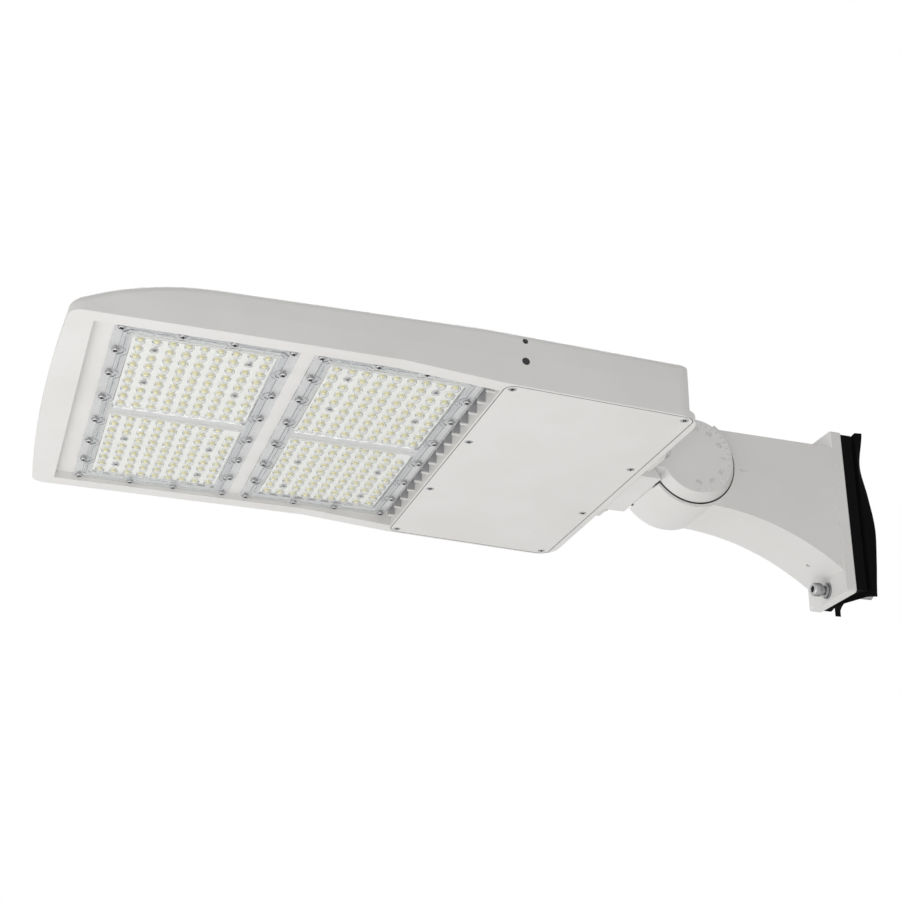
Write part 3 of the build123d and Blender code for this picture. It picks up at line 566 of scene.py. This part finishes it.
def islands(node):
    """Lowest and highest corner of each separate solid of a CAD node."""
    bm = bmesh.new()
    bm.from_mesh(frame["nodes"][node].data)
    bmesh.ops.remove_doubles(bm, verts=bm.verts, dist=SAME_WITHIN)
    waiting = set(bm.verts)
    boxes = []
    while waiting:
        found = [waiting.pop()]
        for vert in found:
            joined = {edge.other_vert(vert) for edge in vert.link_edges} & waiting
            waiting -= joined
            found.extend(joined)
        low = Vector([min(vert.co[axis] for vert in found) for axis in range(3)])
        high = Vector([max(vert.co[axis] for vert in found) for axis in range(3)])
        boxes.append((low, high))
    bm.free()
    return sorted(boxes, key=lambda box: [round(value, 5) for value in box[0]])


def make_piece(name, bm, body, slot, replaced=(), materials=()):
    """Turns a finished mesh into a piece that rides on a body and stands for CAD nodes. It has the material
    of its slot unless others are given."""
    bmesh.ops.recalc_face_normals(bm, faces=bm.faces)
    mesh = bpy.data.meshes.new(name)
    bm.to_mesh(mesh)
    bm.free()
    for material in materials or (MATERIALS[slot],):
        mesh.materials.append(material)
    mesh.shade_smooth()
    mesh.set_sharp_from_angle(angle=math.radians(SMOOTH_DEG))
    piece = bpy.data.objects.new(name, mesh)
    bpy.context.scene.collection.objects.link(piece)
    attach(piece, body)
    if replaced:
        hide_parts(*replaced)
    return piece


# Lamp panels


def box_centre(node):
    """Middle of a CAD node's box."""
    low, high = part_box(node)
    return (low + high) / 2


def chip_place(centre, column, row):
    """Place of one chip on its board."""
    middle = (CHIP_SIDE - 1) / 2
    return Vector(
        (centre.x + (column - middle) * CHIP_PITCH.x, centre.y + (row - middle) * CHIP_PITCH.y)
    )


def chip_places(node, hand):
    """Places of all the chips on one board."""
    centre = box_centre(node)
    left_out = BOARD_SCREW_SPOTS[hand] + BARE_CORNERS[hand]
    grid = [(column, row) for column in range(CHIP_SIDE) for row in range(CHIP_SIDE)]
    return [chip_place(centre, *spot) for spot in grid if spot not in left_out]


def board_screw_places(node, hand):
    """Places of the screws that hold one board."""
    centre = box_centre(node)
    return [chip_place(centre, *spot) for spot in BOARD_SCREW_SPOTS[hand]]


def panel_screw_places():
    """Screws round one lens panel, about its centre."""
    places = [(sx * PANEL_SCREW_X, sy * y) for y in PANEL_SCREW_Y for sx in (-1, 1) for sy in (-1, 1)]
    edge = PANEL_SCREW_Y[-1]
    return places + [(sx * PANEL_SCREW_INNER_X, sy * edge) for sx in (-1, 1) for sy in (-1, 1)]


def steps_between(start, end):
    """Evenly spaced values from start to end, both included."""
    return [start + (end - start) * step / ARC_STEPS for step in range(ARC_STEPS + 1)]


def scalloped_quarter(inset):
    """One quarter of the lens frame's outline: straight edges a little inside the rows of screws, bitten by
    round scallops at the screws themselves."""
    end_y = PANEL_SCREW_Y[-1]
    short = SCALLOP_RADIUS * SCALLOP_SHORT + inset
    radius = SCALLOP_RADIUS + inset
    reach = math.acos(short / radius)
    points = [(PANEL_SCREW_X - short, 0.0)]
    for y in PANEL_SCREW_Y[:-1]:
        for angle in steps_between(-reach, reach):
            points.append((PANEL_SCREW_X - radius * math.cos(angle), y + radius * math.sin(angle)))
    for angle in steps_between(reach, math.asin(short / radius)):
        points.append((PANEL_SCREW_X - radius * math.cos(angle), end_y - radius * math.sin(angle)))
    for angle in steps_between(reach, -reach):
        points.append((PANEL_SCREW_INNER_X + radius * math.sin(angle), end_y - radius * math.cos(angle)))
    return points + [(0.0, end_y - short)]


def scalloped_outline(centre, inset, z):
    """The whole outline, its four quarters alike."""
    quarter = scalloped_quarter(inset)
    back = quarter[-2:0:-1]
    whole = quarter + [(-x, y) for x, y in back] + [(-quarter[0][0], 0.0)]
    whole += [(-x, -y) for x, y in quarter[1:]] + [(x, -y) for x, y in back]
    return [Vector((centre.x + x, centre.y + y, z)) for x, y in whole]


def add_dome(bm, place, z, radius, height, segments=DOME_SEGMENTS, rings=DOME_RINGS):
    """Half an ellipsoid that hangs from level z at one place. Returns its foot ring."""
    foot = add_ring(bm, circle(place, radius + DOME_FOOT, z, segments))
    below = foot
    for step in range(rings):
        angle = math.pi / 2 * step / rings
        ring = add_ring(bm, circle(place, radius * math.cos(angle), z - height * math.sin(angle), segments))
        bridge(bm, below, ring)
        below = ring
    apex = bm.verts.new((place[0], place[1], z - height))
    for i in range(segments):
        bm.faces.new((below[i], below[(i + 1) % segments], apex))
    return foot


def add_zone(bm, place, hand, frame_z, top_z):
    """Thin sheet over one board, with a dome over each chip and a lower one over each screw. Returns the
    rings where it meets the front of the frame and the back of the panel."""
    board = f"led_board_{place}_{hand}"
    low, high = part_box(board)
    middle = (low + high) / 2
    half_x = (high.x - low.x) / 2
    half_y = (high.y - low.y) / 2
    zone_z = top_z - ZONE_DEPTH
    sheet_z = top_z - SHEET_DEPTH
    foot = add_ring(bm, rounded_rectangle(middle, half_x, half_y, ZONE_CORNER, frame_z))
    rise = add_ring(
        bm, rounded_rectangle(middle, half_x - ZONE_SLOPE, half_y - ZONE_SLOPE, ZONE_CORNER, zone_z)
    )
    bridge(bm, foot, rise)
    mouth = add_ring(bm, rounded_rectangle(middle, half_x, half_y, ZONE_CORNER, top_z))
    ceiling = add_ring(bm, rounded_rectangle(middle, half_x, half_y, ZONE_CORNER, sheet_z))
    bridge(bm, mouth, ceiling)
    domes = []
    cavities = []
    for spot in chip_places(board, hand):
        domes.append(add_dome(bm, spot, zone_z, DOME_RADIUS, DOME_HEIGHT))
        cavities.append(add_dome(bm, spot, sheet_z, CAVITY_RADIUS, CAVITY_HEIGHT))
    for spot in board_screw_places(board, hand):
        domes.append(add_dome(bm, spot, zone_z, CAP_RADIUS, CAP_HEIGHT))
        cavities.append(add_dome(bm, spot, sheet_z, CAP_CAVITY_RADIUS, CAP_CAVITY_HEIGHT))
    fill(bm, rise, *domes)
    fill(bm, ceiling, *cavities)
    return foot, mouth


def make_lens(place):
    """Clear sheet over one panel: flange, scalloped frame with a double ridge, two zones full of domes."""
    node = f"lens_panel_{place}"
    low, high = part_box(node)
    centre = (low + high) / 2
    half = (high - low) / 2
    flange_z = high.z - LENS_FLANGE
    frame_z = flange_z - LENS_FRAME
    bm = bmesh.new()
    edge_top = add_ring(bm, rounded_rectangle(centre, half.x, half.y, FLANGE_CORNER, high.z))
    edge_low = add_ring(bm, rounded_rectangle(centre, half.x, half.y, FLANGE_CORNER, flange_z))
    bridge(bm, edge_top, edge_low)
    outside = add_ring(bm, scalloped_outline(centre, 0.0, flange_z))
    low_holes = []
    top_holes = []
    for x, y in panel_screw_places():
        spot = (centre.x + x, centre.y + y)
        low_holes.append(add_ring(bm, circle(spot, SHANK_HOLE_RADIUS, flange_z, DOME_SEGMENTS)))
        top_holes.append(add_ring(bm, circle(spot, SHANK_HOLE_RADIUS, high.z, DOME_SEGMENTS)))
        bridge(bm, low_holes[-1], top_holes[-1])
    fill(bm, edge_low, outside, *low_holes)
    ridge = outside
    for inset, groove in RIDGE_STEPS:
        step = add_ring(bm, scalloped_outline(centre, inset, frame_z + groove))
        bridge(bm, ridge, step)
        ridge = step
    zones = [add_zone(bm, place, hand, frame_z, high.z) for hand in HANDS]
    fill(bm, ridge, *(foot for foot, mouth in zones))
    fill(bm, edge_top, *(mouth for foot, mouth in zones), *top_holes)
    # The flange faces take the greyer lens, a painted shade.
    for face in bm.faces:
        if all(frame_z - FLAT_WITHIN < vert.co.z < flange_z + FLAT_WITHIN for vert in face.verts):
            face.material_index = 1
    lens = make_piece(f"lens_{place}", bm, "luminaire", "lens", (node,), (MATERIALS["lens"], SHADED_LENS))
    # Clear plastic lets light through to the boards without a shadow.
    lens.visible_shadow = False
    lens.visible_diffuse = False


def make_chips(place, hand):
    """Chips of one board: a square ceramic package under a round bead of phosphor in silicone."""
    node = f"led_chips_{place}_{hand}"
    board_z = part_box(node)[1].z
    bm = bmesh.new()
    face_z = board_z - PACKAGE_HEIGHT
    steps = (
        (PACKAGE_HALF, board_z),
        (PACKAGE_HALF, face_z + PACKAGE_BEVEL),
        (PACKAGE_HALF - PACKAGE_BEVEL, face_z),
    )
    for spot in chip_places(f"led_board_{place}_{hand}", hand):
        rings = []
        for half, z in steps:
            corners = [(half, half), (-half, half), (-half, -half), (half, -half)]
            rings.append(add_ring(bm, [Vector((spot.x + x, spot.y + y, z)) for x, y in corners]))
        bridge(bm, rings[0], rings[1])
        bridge(bm, rings[1], rings[2])
        bm.faces.new(rings[0])
        package = len(bm.faces)
        bead = add_dome(bm, spot, face_z, BEAD_RADIUS - DOME_FOOT, BEAD_HEIGHT, BEAD_SEGMENTS, BEAD_RINGS)
        bm.faces.ensure_lookup_table()
        for face in bm.faces[package:]:
            face.material_index = 1
        fill(bm, rings[2], bead)
    materials = (PACKAGE, MATERIALS["phosphor"])
    make_piece(f"chips_{place}_{hand}", bm, "luminaire", "phosphor", (node,), materials)


# Screws


def cross_outline(z):
    """Outline of a cross recess, its arms along X and Y."""
    inner = CROSS_HALF_WIDTH
    points = []
    for quarter in range(4):
        turn = Matrix.Rotation(quarter * math.pi / 2, 2)
        for corner in ((CROSS_ARM, -inner), (CROSS_ARM, inner), (inner, inner)):
            points.append((turn @ Vector(corner)).to_3d() + Vector((0, 0, z)))
    return points


PAN_HEAD = tuple((across * PAN_HEAD_RADIUS, up * PAN_HEAD_HEIGHT) for across, up in PAN_HEAD_SHAPE)
PAN_SCREW = ((SHANK_RADIUS, -SHANK_LENGTH), (SHANK_RADIUS, 0.0)) + PAN_HEAD
SUNK_SCREW = (
    (SUNK_SHANK_RADIUS, -SUNK_SCREW_LENGTH),
    (SUNK_SHANK_RADIUS, -SUNK_HEAD_DEPTH),
    (SUNK_HEAD_RADIUS, -EDGE_BREAK),
    (SUNK_HEAD_RADIUS - EDGE_BREAK, 0.0),
)
FACING_DOWN = Matrix.Rotation(math.pi, 4, "X")


def make_screws(name, seats, profile, replaced=()):
    """One piece with all the screws of a kind in the lamp, at seats with Z outwards. Each has a cross recess
    and is turned a little further than the last."""
    outlines = turned(profile, SCREW_SEGMENTS)
    cross = cross_outline(profile[-1][1])
    bm = bmesh.new()
    for index, seat in enumerate(seats):
        add_solid(bm, seat @ Matrix.Rotation(index * SCREW_TURN_RAD, 4, "Z"), outlines, cross, CROSS_DEPTH)
    make_piece(name, bm, "luminaire", "screw_steel", replaced)


def panel_screw_seats(place):
    """Seats of the pan-head screws on one lens panel's flange."""
    low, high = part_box(f"lens_screws_{place}")
    centre = (low + high) / 2
    spots = [(centre.x + x, centre.y + y, high.z) for x, y in panel_screw_places()]
    return [Matrix.Translation(spot) @ FACING_DOWN for spot in spots]


def board_screw_seats(place):
    """Seats of the small screws on the boards of one panel."""
    seats = []
    for hand in HANDS:
        board = f"led_board_{place}_{hand}"
        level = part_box(board)[0].z
        for spot in board_screw_places(board, hand):
            seat = Matrix.Translation((spot.x, spot.y, level)) @ FACING_DOWN
            seats.append(seat @ Matrix.Scale(BOARD_SCREW_SCALE, 4))
    return seats


def cover_face():
    """A point and the outward normal of the driver cover's sloping face, and the turn from +Z to it."""
    cover = frame["nodes"]["driver_cover"].data
    face = max(cover.polygons, key=lambda polygon: -polygon.normal.z * polygon.area)
    turn = Vector((0, 0, 1)).rotation_difference(face.normal).to_matrix().to_4x4()
    return face.center.copy(), face.normal.copy(), turn


def cover_screw_seats():
    """Seats of the countersunk screws, flush with the sloping face of the driver cover."""
    centre, normal, turn = cover_face()
    seats = []
    for low, high in islands("driver_cover_screws"):
        middle = (low + high) / 2
        along = (centre - middle).dot(normal) / normal.z
        seats.append(Matrix.Translation(middle + Vector((0, 0, along))) @ turn)
    return seats


def make_cover_seam():
    """Dark strip in the narrow gap between the driver cover and the housing: painted shade for the shadow in
    the seam.
    """
    centre, normal, turn = cover_face()
    along = turn @ Vector((1, 0, 0))
    cover = frame["nodes"]["driver_cover"].data
    rim = [vert.co for vert in cover.vertices if abs((vert.co - centre).dot(normal)) < FLAT_WITHIN]
    reach = [(point - centre).dot(along) for point in rim]
    half_y = max(point.y for point in rim)
    middle = centre + along * (max(reach) + min(reach)) / 2
    middle.y = 0.0
    half_x = (max(reach) - min(reach)) / 2
    bottom, top = -SEAM_DEPTH, SEAM_PROUD
    outlines = []
    for grow, z in ((-SEAM_LAP, bottom), (-SEAM_LAP, top), (SEAM_GAP, top), (SEAM_GAP, bottom)):
        outlines.append(rounded_rectangle((0, 0), half_x + grow, half_y + grow, COVER_CORNER + grow, z))
    bm = bmesh.new()
    add_solid(bm, Matrix.Translation(middle) @ turn, outlines, hollow=True)
    make_piece("cover_seam", bm, "luminaire", "seal", materials=(SEAM_SHADE_SEAL,))


# Bolts and washers of the knuckle and the pole flange


def hex_outlines(across_flats, height):
    """Outlines of a hexagon head from its seat to its chamfered face."""
    flat = across_flats / 2
    face = HEX_FACE_SHARE * flat
    seat, shoulder, top = [], [], []
    for i in range(HEX_POINTS):
        angle = 2 * math.pi * i / HEX_POINTS
        reach = flat / math.cos((angle + math.pi / 6) % (math.pi / 3) - math.pi / 6)
        way = Vector((math.cos(angle), math.sin(angle), 0))
        seat.append(reach * way)
        shoulder.append(reach * way + Vector((0, 0, height - (reach - face) * HEX_CHAMFER_SLOPE)))
        top.append(face * way + Vector((0, 0, height)))
    return [seat, shoulder, top]


def hex_recess(across_flats, z):
    """Outline of a hexagon socket."""
    reach = across_flats / math.sqrt(3)
    return circle((0, 0), reach, z, 6)


def knurled(radius, z):
    """A circle with shallow grooves all round."""
    points = circle((0, 0), radius, z, 2 * KNURL_TEETH)
    bottom = circle((0, 0), radius - KNURL_DEPTH, z, 2 * KNURL_TEETH)
    return [bottom[i] if i % 2 else points[i] for i in range(2 * KNURL_TEETH)]


def add_thread(bm, matrix, crest, length):
    """A helical thread along local Z, cut off square at both ends."""
    turn = THREAD_STEPS
    steps = round(length / THREAD_PITCH * turn)

    def place(i, radius, shift):
        angle = 2 * math.pi * i / turn
        z = min(max(THREAD_PITCH * (i / turn + shift), 0.0), length)
        return bm.verts.new(matrix @ Vector((radius * math.cos(angle), radius * math.sin(angle), z)))

    roots = {i: place(i, crest - THREAD_DEPTH, 0.0) for i in range(-turn, steps + turn + 1)}
    crests = {i: place(i, crest, 0.5) for i in range(-turn, steps + 1)}
    for i in range(-turn, steps):
        bm.faces.new((roots[i], roots[i + 1], crests[i + 1], crests[i]))
        bm.faces.new((crests[i], crests[i + 1], roots[i + turn + 1], roots[i + turn]))
    bm.faces.new([roots[i] for i in range(-turn, 0)])
    bm.faces.new([roots[i] for i in range(steps + 1, steps + turn + 1)])
    made = list(roots.values()) + list(crests.values())
    bmesh.ops.remove_doubles(bm, verts=made, dist=SAME_WITHIN)


ALONG_X = Matrix.Rotation(math.pi / 2, 4, "Y")
AGAINST_X = Matrix.Rotation(-math.pi / 2, 4, "Y")
ALONG_Y = Matrix.Rotation(-math.pi / 2, 4, "X")


def washer_profile(inner, outer, thickness):
    """Section of a punched washer, its outer edges broken."""
    return (
        (inner, 0.0),
        (outer - EDGE_BREAK, 0.0),
        (outer, EDGE_BREAK),
        (outer, thickness - EDGE_BREAK),
        (outer - EDGE_BREAK, thickness),
        (inner, thickness),
    )


def make_bracket_bolts():
    """Hexagon bolts that hold the tilt bracket, and the washers under their heads."""
    bolts = bmesh.new()
    washers = bmesh.new()
    for bolt, washer in zip(islands("bracket_bolts"), islands("bracket_washers")):
        low, high = bolt
        middle = (low + high) / 2
        front, back = washer[0].x, washer[1].x
        seat = Matrix.Translation((back, middle.y, middle.z)) @ ALONG_X
        add_solid(bolts, seat, hex_outlines(HEX_ACROSS_FLATS, high.x - back))
        shank = turned(((BOLT_RADIUS, low.x - back + EDGE_BREAK), (BOLT_RADIUS, 0.0)))
        add_solid(bolts, seat, shank)
        profile = washer_profile(WASHER_HOLE_RADIUS, WASHER_RADIUS, back - front)
        face = Matrix.Translation((front, middle.y, middle.z)) @ ALONG_X
        add_solid(washers, face, turned(profile), hollow=True)
    make_piece("hex_bolts", bolts, "luminaire", "screw_steel", ("bracket_bolts",))
    make_piece("bolt_washers", washers, "luminaire", "screw_steel", ("bracket_washers",))


def make_pivot_bolt():
    """Hexagon bolt on the tilt axis, its head on the far cheek."""
    low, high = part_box("pivot_bolt")
    middle = (low + high) / 2
    seat_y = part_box("pivot_washer")[1].y
    seat = Matrix.Translation((middle.x, seat_y, middle.z)) @ ALONG_Y
    bm = bmesh.new()
    add_solid(bm, seat, hex_outlines(PIVOT_ACROSS_FLATS, high.y - seat_y))
    add_solid(bm, seat, turned(((PIVOT_RADIUS, low.y - seat_y), (PIVOT_RADIUS, 0.0))))
    make_piece("pivot_hex_bolt", bm, "luminaire", "screw_steel", ("pivot_bolt",))


def make_pole_bolts():
    """Socket-head bolts through the pole flange: knurled heads, smooth shanks and a free thread."""
    points = 2 * KNURL_TEETH
    root = SOCKET_HEAD_RADIUS - KNURL_DEPTH
    shoulder = SOCKET_HEAD_LENGTH - SOCKET_HEAD_CHAMFER
    outlines = [
        circle((0, 0), root, 0.0, points),
        knurled(SOCKET_HEAD_RADIUS, EDGE_BREAK),
        knurled(SOCKET_HEAD_RADIUS, shoulder),
        circle((0, 0), root, shoulder + EDGE_BREAK, points),
        circle((0, 0), SOCKET_HEAD_RADIUS - SOCKET_HEAD_CHAMFER, SOCKET_HEAD_LENGTH, points),
    ]
    socket = hex_recess(SOCKET_ACROSS_FLATS, SOCKET_HEAD_LENGTH)
    bm = bmesh.new()
    for low, high in islands("pole_bolts"):
        middle = (low + high) / 2
        seat = Matrix.Translation((low.x + SOCKET_HEAD_LENGTH, middle.y, middle.z))
        free = Matrix.Translation((high.x - THREAD_LENGTH, middle.y, middle.z))
        add_solid(bm, seat @ AGAINST_X, outlines, socket, SOCKET_DEPTH)
        smooth = high.x - THREAD_LENGTH - low.x - SOCKET_HEAD_LENGTH
        add_solid(bm, seat @ ALONG_X, turned(((BOLT_RADIUS, 0.0), (BOLT_RADIUS, smooth))))
        add_thread(bm, free @ ALONG_X, BOLT_RADIUS, THREAD_LENGTH)
    make_piece("socket_bolts", bm, "arm", "screw_steel", ("pole_bolts",))


# Rubber saddle


def wing_reach(share):
    """How far the wings reach beside the pole, at a share of the height from bottom to top: a smooth curve
    through the listed values."""
    spans = len(WING_REACH) - 1
    span = min(int(share * spans), spans - 1)
    t = share * spans - span
    before = WING_REACH[max(span - 1, 0)]
    here, there = WING_REACH[span], WING_REACH[span + 1]
    after = WING_REACH[min(span + 2, spans)]
    square = 2 * before - 5 * here + 4 * there - after
    cube = 3 * here - before - 3 * there + after
    return here + ((there - before) * t + square * t**2 + cube * t**3) / 2


def saddle_section(front_x, half_width, reach):
    """Half of a level section as (x, y, height share): plate, notch, wing and the face on the pole."""
    outer = POLE_RADIUS + WING_WALL
    root = math.acos((POLE_RADIUS - PLATE_EDGE_X + NOTCH_ROOT) / outer)
    end = math.asin(half_width / outer)
    tip = math.acos((POLE_RADIUS - reach) / POLE_RADIUS)
    points = [(front_x, half_width * i / SADDLE_STEPS, PLATE_TOP) for i in range(SADDLE_STEPS)]
    points.append((front_x, half_width - SADDLE_ROUND, PLATE_TOP))
    points.append((front_x + SADDLE_ROUND, half_width, PLATE_TOP))
    points.append((PLATE_EDGE_X - SADDLE_ROUND, half_width, PLATE_TOP))
    points.append((PLATE_EDGE_X, half_width - SADDLE_ROUND, PLATE_TOP))
    for i in range(SADDLE_STEPS + 1):
        angle = root + (end - root) * i / SADDLE_STEPS
        height = NOTCH_TOP + (1 - NOTCH_TOP) * i / SADDLE_STEPS
        points.append((POLE_RADIUS - outer * math.cos(angle), outer * math.sin(angle), height))
    for i in range(SADDLE_STEPS):
        angle = tip * (1 - i / SADDLE_STEPS)
        height = NOTCH_TOP + (1 - NOTCH_TOP) * (1 - i / SADDLE_STEPS)
        points.append((POLE_RADIUS * (1 - math.cos(angle)), POLE_RADIUS * math.sin(angle), height))
    return points + [(0.0, 0.0, NOTCH_TOP)]


def make_saddle():
    """Moulded rubber pad between the flange and the pole, its two wings wavy along their free edges."""
    low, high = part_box("pole_saddle")
    middle = (low.z + high.z) / 2
    half_height = (high.z - low.z) / 2
    bm = bmesh.new()
    rings = []
    for level in range(SADDLE_LEVELS + 1):
        share = level / SADDLE_LEVELS
        half = saddle_section(low.x, high.y, wing_reach(share))
        whole = half + [(x, -y, height) for x, y, height in half[-2:0:-1]]
        z = half_height * (2 * share - 1)
        rings.append(add_ring(bm, [Vector((x, y, middle + z * height)) for x, y, height in whole]))
    for lower, upper in zip(rings, rings[1:]):
        bridge(bm, lower, upper)
    fill(bm, rings[0])
    fill(bm, rings[-1])
    holes = [(0.0, WIRE_HOLE_RADIUS)]
    holes += [((bolt[0].z + bolt[1].z) / 2, BOLT_HOLE_RADIUS) for bolt in islands("pole_bolts")]
    for z, radius in holes:
        drill = bmesh.new()
        start = Matrix.Translation((low.x - SADDLE_ROUND, 0, z)) @ ALONG_X
        add_solid(drill, start, turned(((radius, 0.0), (radius, high.x - low.x))))
        bm = cut(bm, drill)
    make_piece("rubber_saddle", bm, "arm", "saddle_rubber", ("pole_saddle",))


# Raised marks on the knuckle

FACING_NEAR = Matrix.Rotation(math.pi / 2, 4, "X")


def add_stroke(bm, matrix, start, end):
    """A raised stroke with sloping sides between two points of a flat face."""
    way = (end - start).normalized()
    side = Vector((-way.y, way.x)) * TICK_HALF_WIDTH
    foot = [start - side, end - side, end + side, start + side]
    top = [start + (way * TICK_HALF_WIDTH - side) / 2, end - (way * TICK_HALF_WIDTH + side) / 2]
    top += [end - (way * TICK_HALF_WIDTH - side) / 2, start + (way * TICK_HALF_WIDTH + side) / 2]
    outlines = []
    for corners, z in ((foot, -MARK_SINK), (top, MARK_RISE)):
        outlines.append([Vector((corner.x, corner.y, z)) for corner in corners])
    add_solid(bm, matrix, outlines)


def add_number(bm, matrix, number):
    """A raised number, centred on the matrix."""
    data = bpy.data.curves.new("number", "FONT")
    data.body = str(number)
    data.size = NUMBER_SIZE
    data.align_x = "CENTER"
    data.align_y = "CENTER"
    data.extrude = (MARK_RISE + MARK_SINK) / 2
    data.resolution_u = NUMBER_CURVE_STEPS
    text = bpy.data.objects.new("number", data)
    mesh = bpy.data.meshes.new_from_object(text)
    middle = (MARK_RISE - MARK_SINK) / 2
    mesh.transform(matrix @ Matrix.Translation((0, 0, middle)))
    bm.from_mesh(mesh)
    bpy.data.meshes.remove(mesh)
    bpy.data.objects.remove(text)
    bpy.data.curves.remove(data)


def make_angle_scale():
    """Degree scale cast into the near cheek of the tilt bracket."""
    far_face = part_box("pivot_washer")[0].y
    dial = Matrix.Translation((PIVOT.x, -far_face, PIVOT.z)) @ FACING_NEAR
    bm = bmesh.new()
    for degrees in range(-SCALE_REACH_DEG, SCALE_REACH_DEG + 1, TICK_STEP_DEG):
        angle = math.radians(degrees)
        way = Vector((math.cos(angle), math.sin(angle)))
        add_stroke(bm, dial, way * TICK_INNER, way * TICK_OUTER)
        if degrees % NUMBER_STEP_DEG == 0:
            place = Matrix.Translation((way * NUMBER_RADIUS).to_3d())
            upright = Matrix.Rotation(angle - math.pi / 2, 4, "Z")
            add_number(bm, dial @ place @ upright, abs(degrees))
    make_piece("angle_scale", bm, "luminaire", "powder_coat")


def make_pointer():
    """Arrow cast into the arm, which points at the degree scale."""
    face = Matrix.Translation((0, -ARM_HALF_WIDTH, 0)) @ FACING_NEAR
    bm = bmesh.new()
    add_stroke(bm, face, ARROW_TIP, ARROW_TIP + Vector((ARROW_LENGTH, 0)))
    for side in (-1, 1):
        angle = side * math.radians(ARROW_BARB_DEG)
        barb = Vector((math.cos(angle), math.sin(angle))) * ARROW_BARB
        add_stroke(bm, face, ARROW_TIP, ARROW_TIP + barb)
    make_piece("arm_pointer", bm, "arm", "powder_coat")


# Studio


def make_camera():
    """The camera, below the lamp and on its near side."""
    data = bpy.data.cameras.new("camera")
    data.lens = CAMERA_LENS_MM
    camera = bpy.data.objects.new("camera", data)
    turn = Matrix.Rotation(-math.radians(CAMERA_YAW_DEG), 4, "Z")
    lift = Matrix.Rotation(math.radians(90 + CAMERA_PITCH_DEG), 4, "X")
    roll = Matrix.Rotation(math.radians(CAMERA_ROLL_DEG), 4, "Z")
    camera.matrix_world = Matrix.Translation(CAMERA_PLACE) @ turn @ lift @ roll
    bpy.context.scene.collection.objects.link(camera)
    bpy.context.scene.camera = camera


def make_light(name, place, target, size, power):
    """A soft box that faces its target and isn't seen itself."""
    data = bpy.data.lights.new(name, "AREA")
    data.shape = "SQUARE"
    data.size = size
    data.energy = power
    light = bpy.data.objects.new(name, data)
    light.location = place
    light.rotation_euler = (Vector(target) - Vector(place)).to_track_quat("-Z", "Y").to_euler()
    light.visible_camera = False
    bpy.context.scene.collection.objects.link(light)


def seen_by(tree, *kinds):
    """A value that is 1 for the named kinds of light ray and 0 for the rest."""
    path = add_node(tree, "ShaderNodeLightPath").outputs
    seen = path[kinds[0]]
    for kind in kinds[1:]:
        either = add_node(tree, "ShaderNodeMath", {0: seen, 1: path[kind]}, operation="MAXIMUM")
        seen = either.outputs[0]
    return seen


def make_floor():
    """A plain pale floor well below the lamp: white in reflections and through clear plastic, and paler than
    its light would make it where the camera sees it, with the lamp's shadow left."""
    bm = bmesh.new()
    half = FLOOR_SIZE / 2
    corners = [(-half, -half), (half, -half), (half, half), (-half, half)]
    bm.faces.new([bm.verts.new((x, y, FLOOR_Z)) for x, y in corners])
    mesh = bpy.data.meshes.new("floor")
    bm.to_mesh(mesh)
    bm.free()
    floor = bpy.data.objects.new("floor", mesh)
    material = mottled(
        "pale_matt_floor", "#ECECEA", "#F2F2F0", size_mm=FLOOR_CLOUD_MM, detail=2.0, Roughness=0.9
    )
    tree = material.node_tree
    matt = tree.nodes["Principled BSDF"].outputs["BSDF"]
    mirrored = seen_by(tree, "Is Glossy Ray", "Is Transmission Ray")
    direct = add_node(
        tree, "ShaderNodeMath", {0: seen_by(tree, "Is Camera Ray"), 1: FLOOR_GLOW}, operation="MULTIPLY"
    )
    share = add_node(tree, "ShaderNodeMath", {0: mirrored, 1: direct.outputs[0]}, operation="MAXIMUM")
    glow = add_node(tree, "ShaderNodeEmission").outputs["Emission"]
    mix = add_node(tree, "ShaderNodeMixShader", {0: share.outputs[0], 1: matt, 2: glow})
    tree.links.new(mix.outputs["Shader"], tree.nodes["Material Output"].inputs["Surface"])
    mesh.materials.append(material)
    bpy.context.scene.collection.objects.link(floor)


def make_world():
    """White where the camera, a reflection or clear plastic looks past the lamp, a soft fill elsewhere."""
    world = bpy.data.worlds.new("studio")
    world.use_nodes = True
    tree = world.node_tree
    backdrop = tree.nodes["Background"]
    seen = seen_by(tree, "Is Camera Ray", "Is Glossy Ray", "Is Transmission Ray")
    level = add_node(tree, "ShaderNodeMapRange", {"Value": seen, "To Min": WORLD_FILL, "To Max": 1.0})
    backdrop.inputs["Color"].default_value = (1.0, 1.0, 1.0, 1.0)
    tree.links.new(level.outputs["Result"], backdrop.inputs["Strength"])
    bpy.context.scene.world = world


def dress_cad():
    """Gives every CAD node the material of its slot, or its own where it has one."""
    slots = {part["node"]: part["material_slot"] for part in frame["record"]["subparts"]}
    for name, node in frame["nodes"].items():
        for slot in node.material_slots:
            slot.material = NODE_MATERIALS.get(name, MATERIALS[slots[name]])


bpy.context.scene.view_settings.view_transform = "Standard"
dress_cad()
for place in ("front", "rear"):
    make_lens(place)
    make_screws(f"panel_screws_{place}", panel_screw_seats(place), PAN_SCREW, (f"lens_screws_{place}",))
    make_screws(f"board_screws_{place}", board_screw_seats(place), PAN_HEAD)
    for hand in HANDS:
        make_chips(place, hand)
make_screws("cover_screws", cover_screw_seats(), SUNK_SCREW, ("driver_cover_screws",))
make_cover_seam()
make_bracket_bolts()
make_pivot_bolt()
make_pole_bolts()
make_saddle()
make_angle_scale()
make_pointer()
make_camera()
make_world()
make_floor()
for name, box in SOFT_BOXES.items():
    make_light(name, *box)
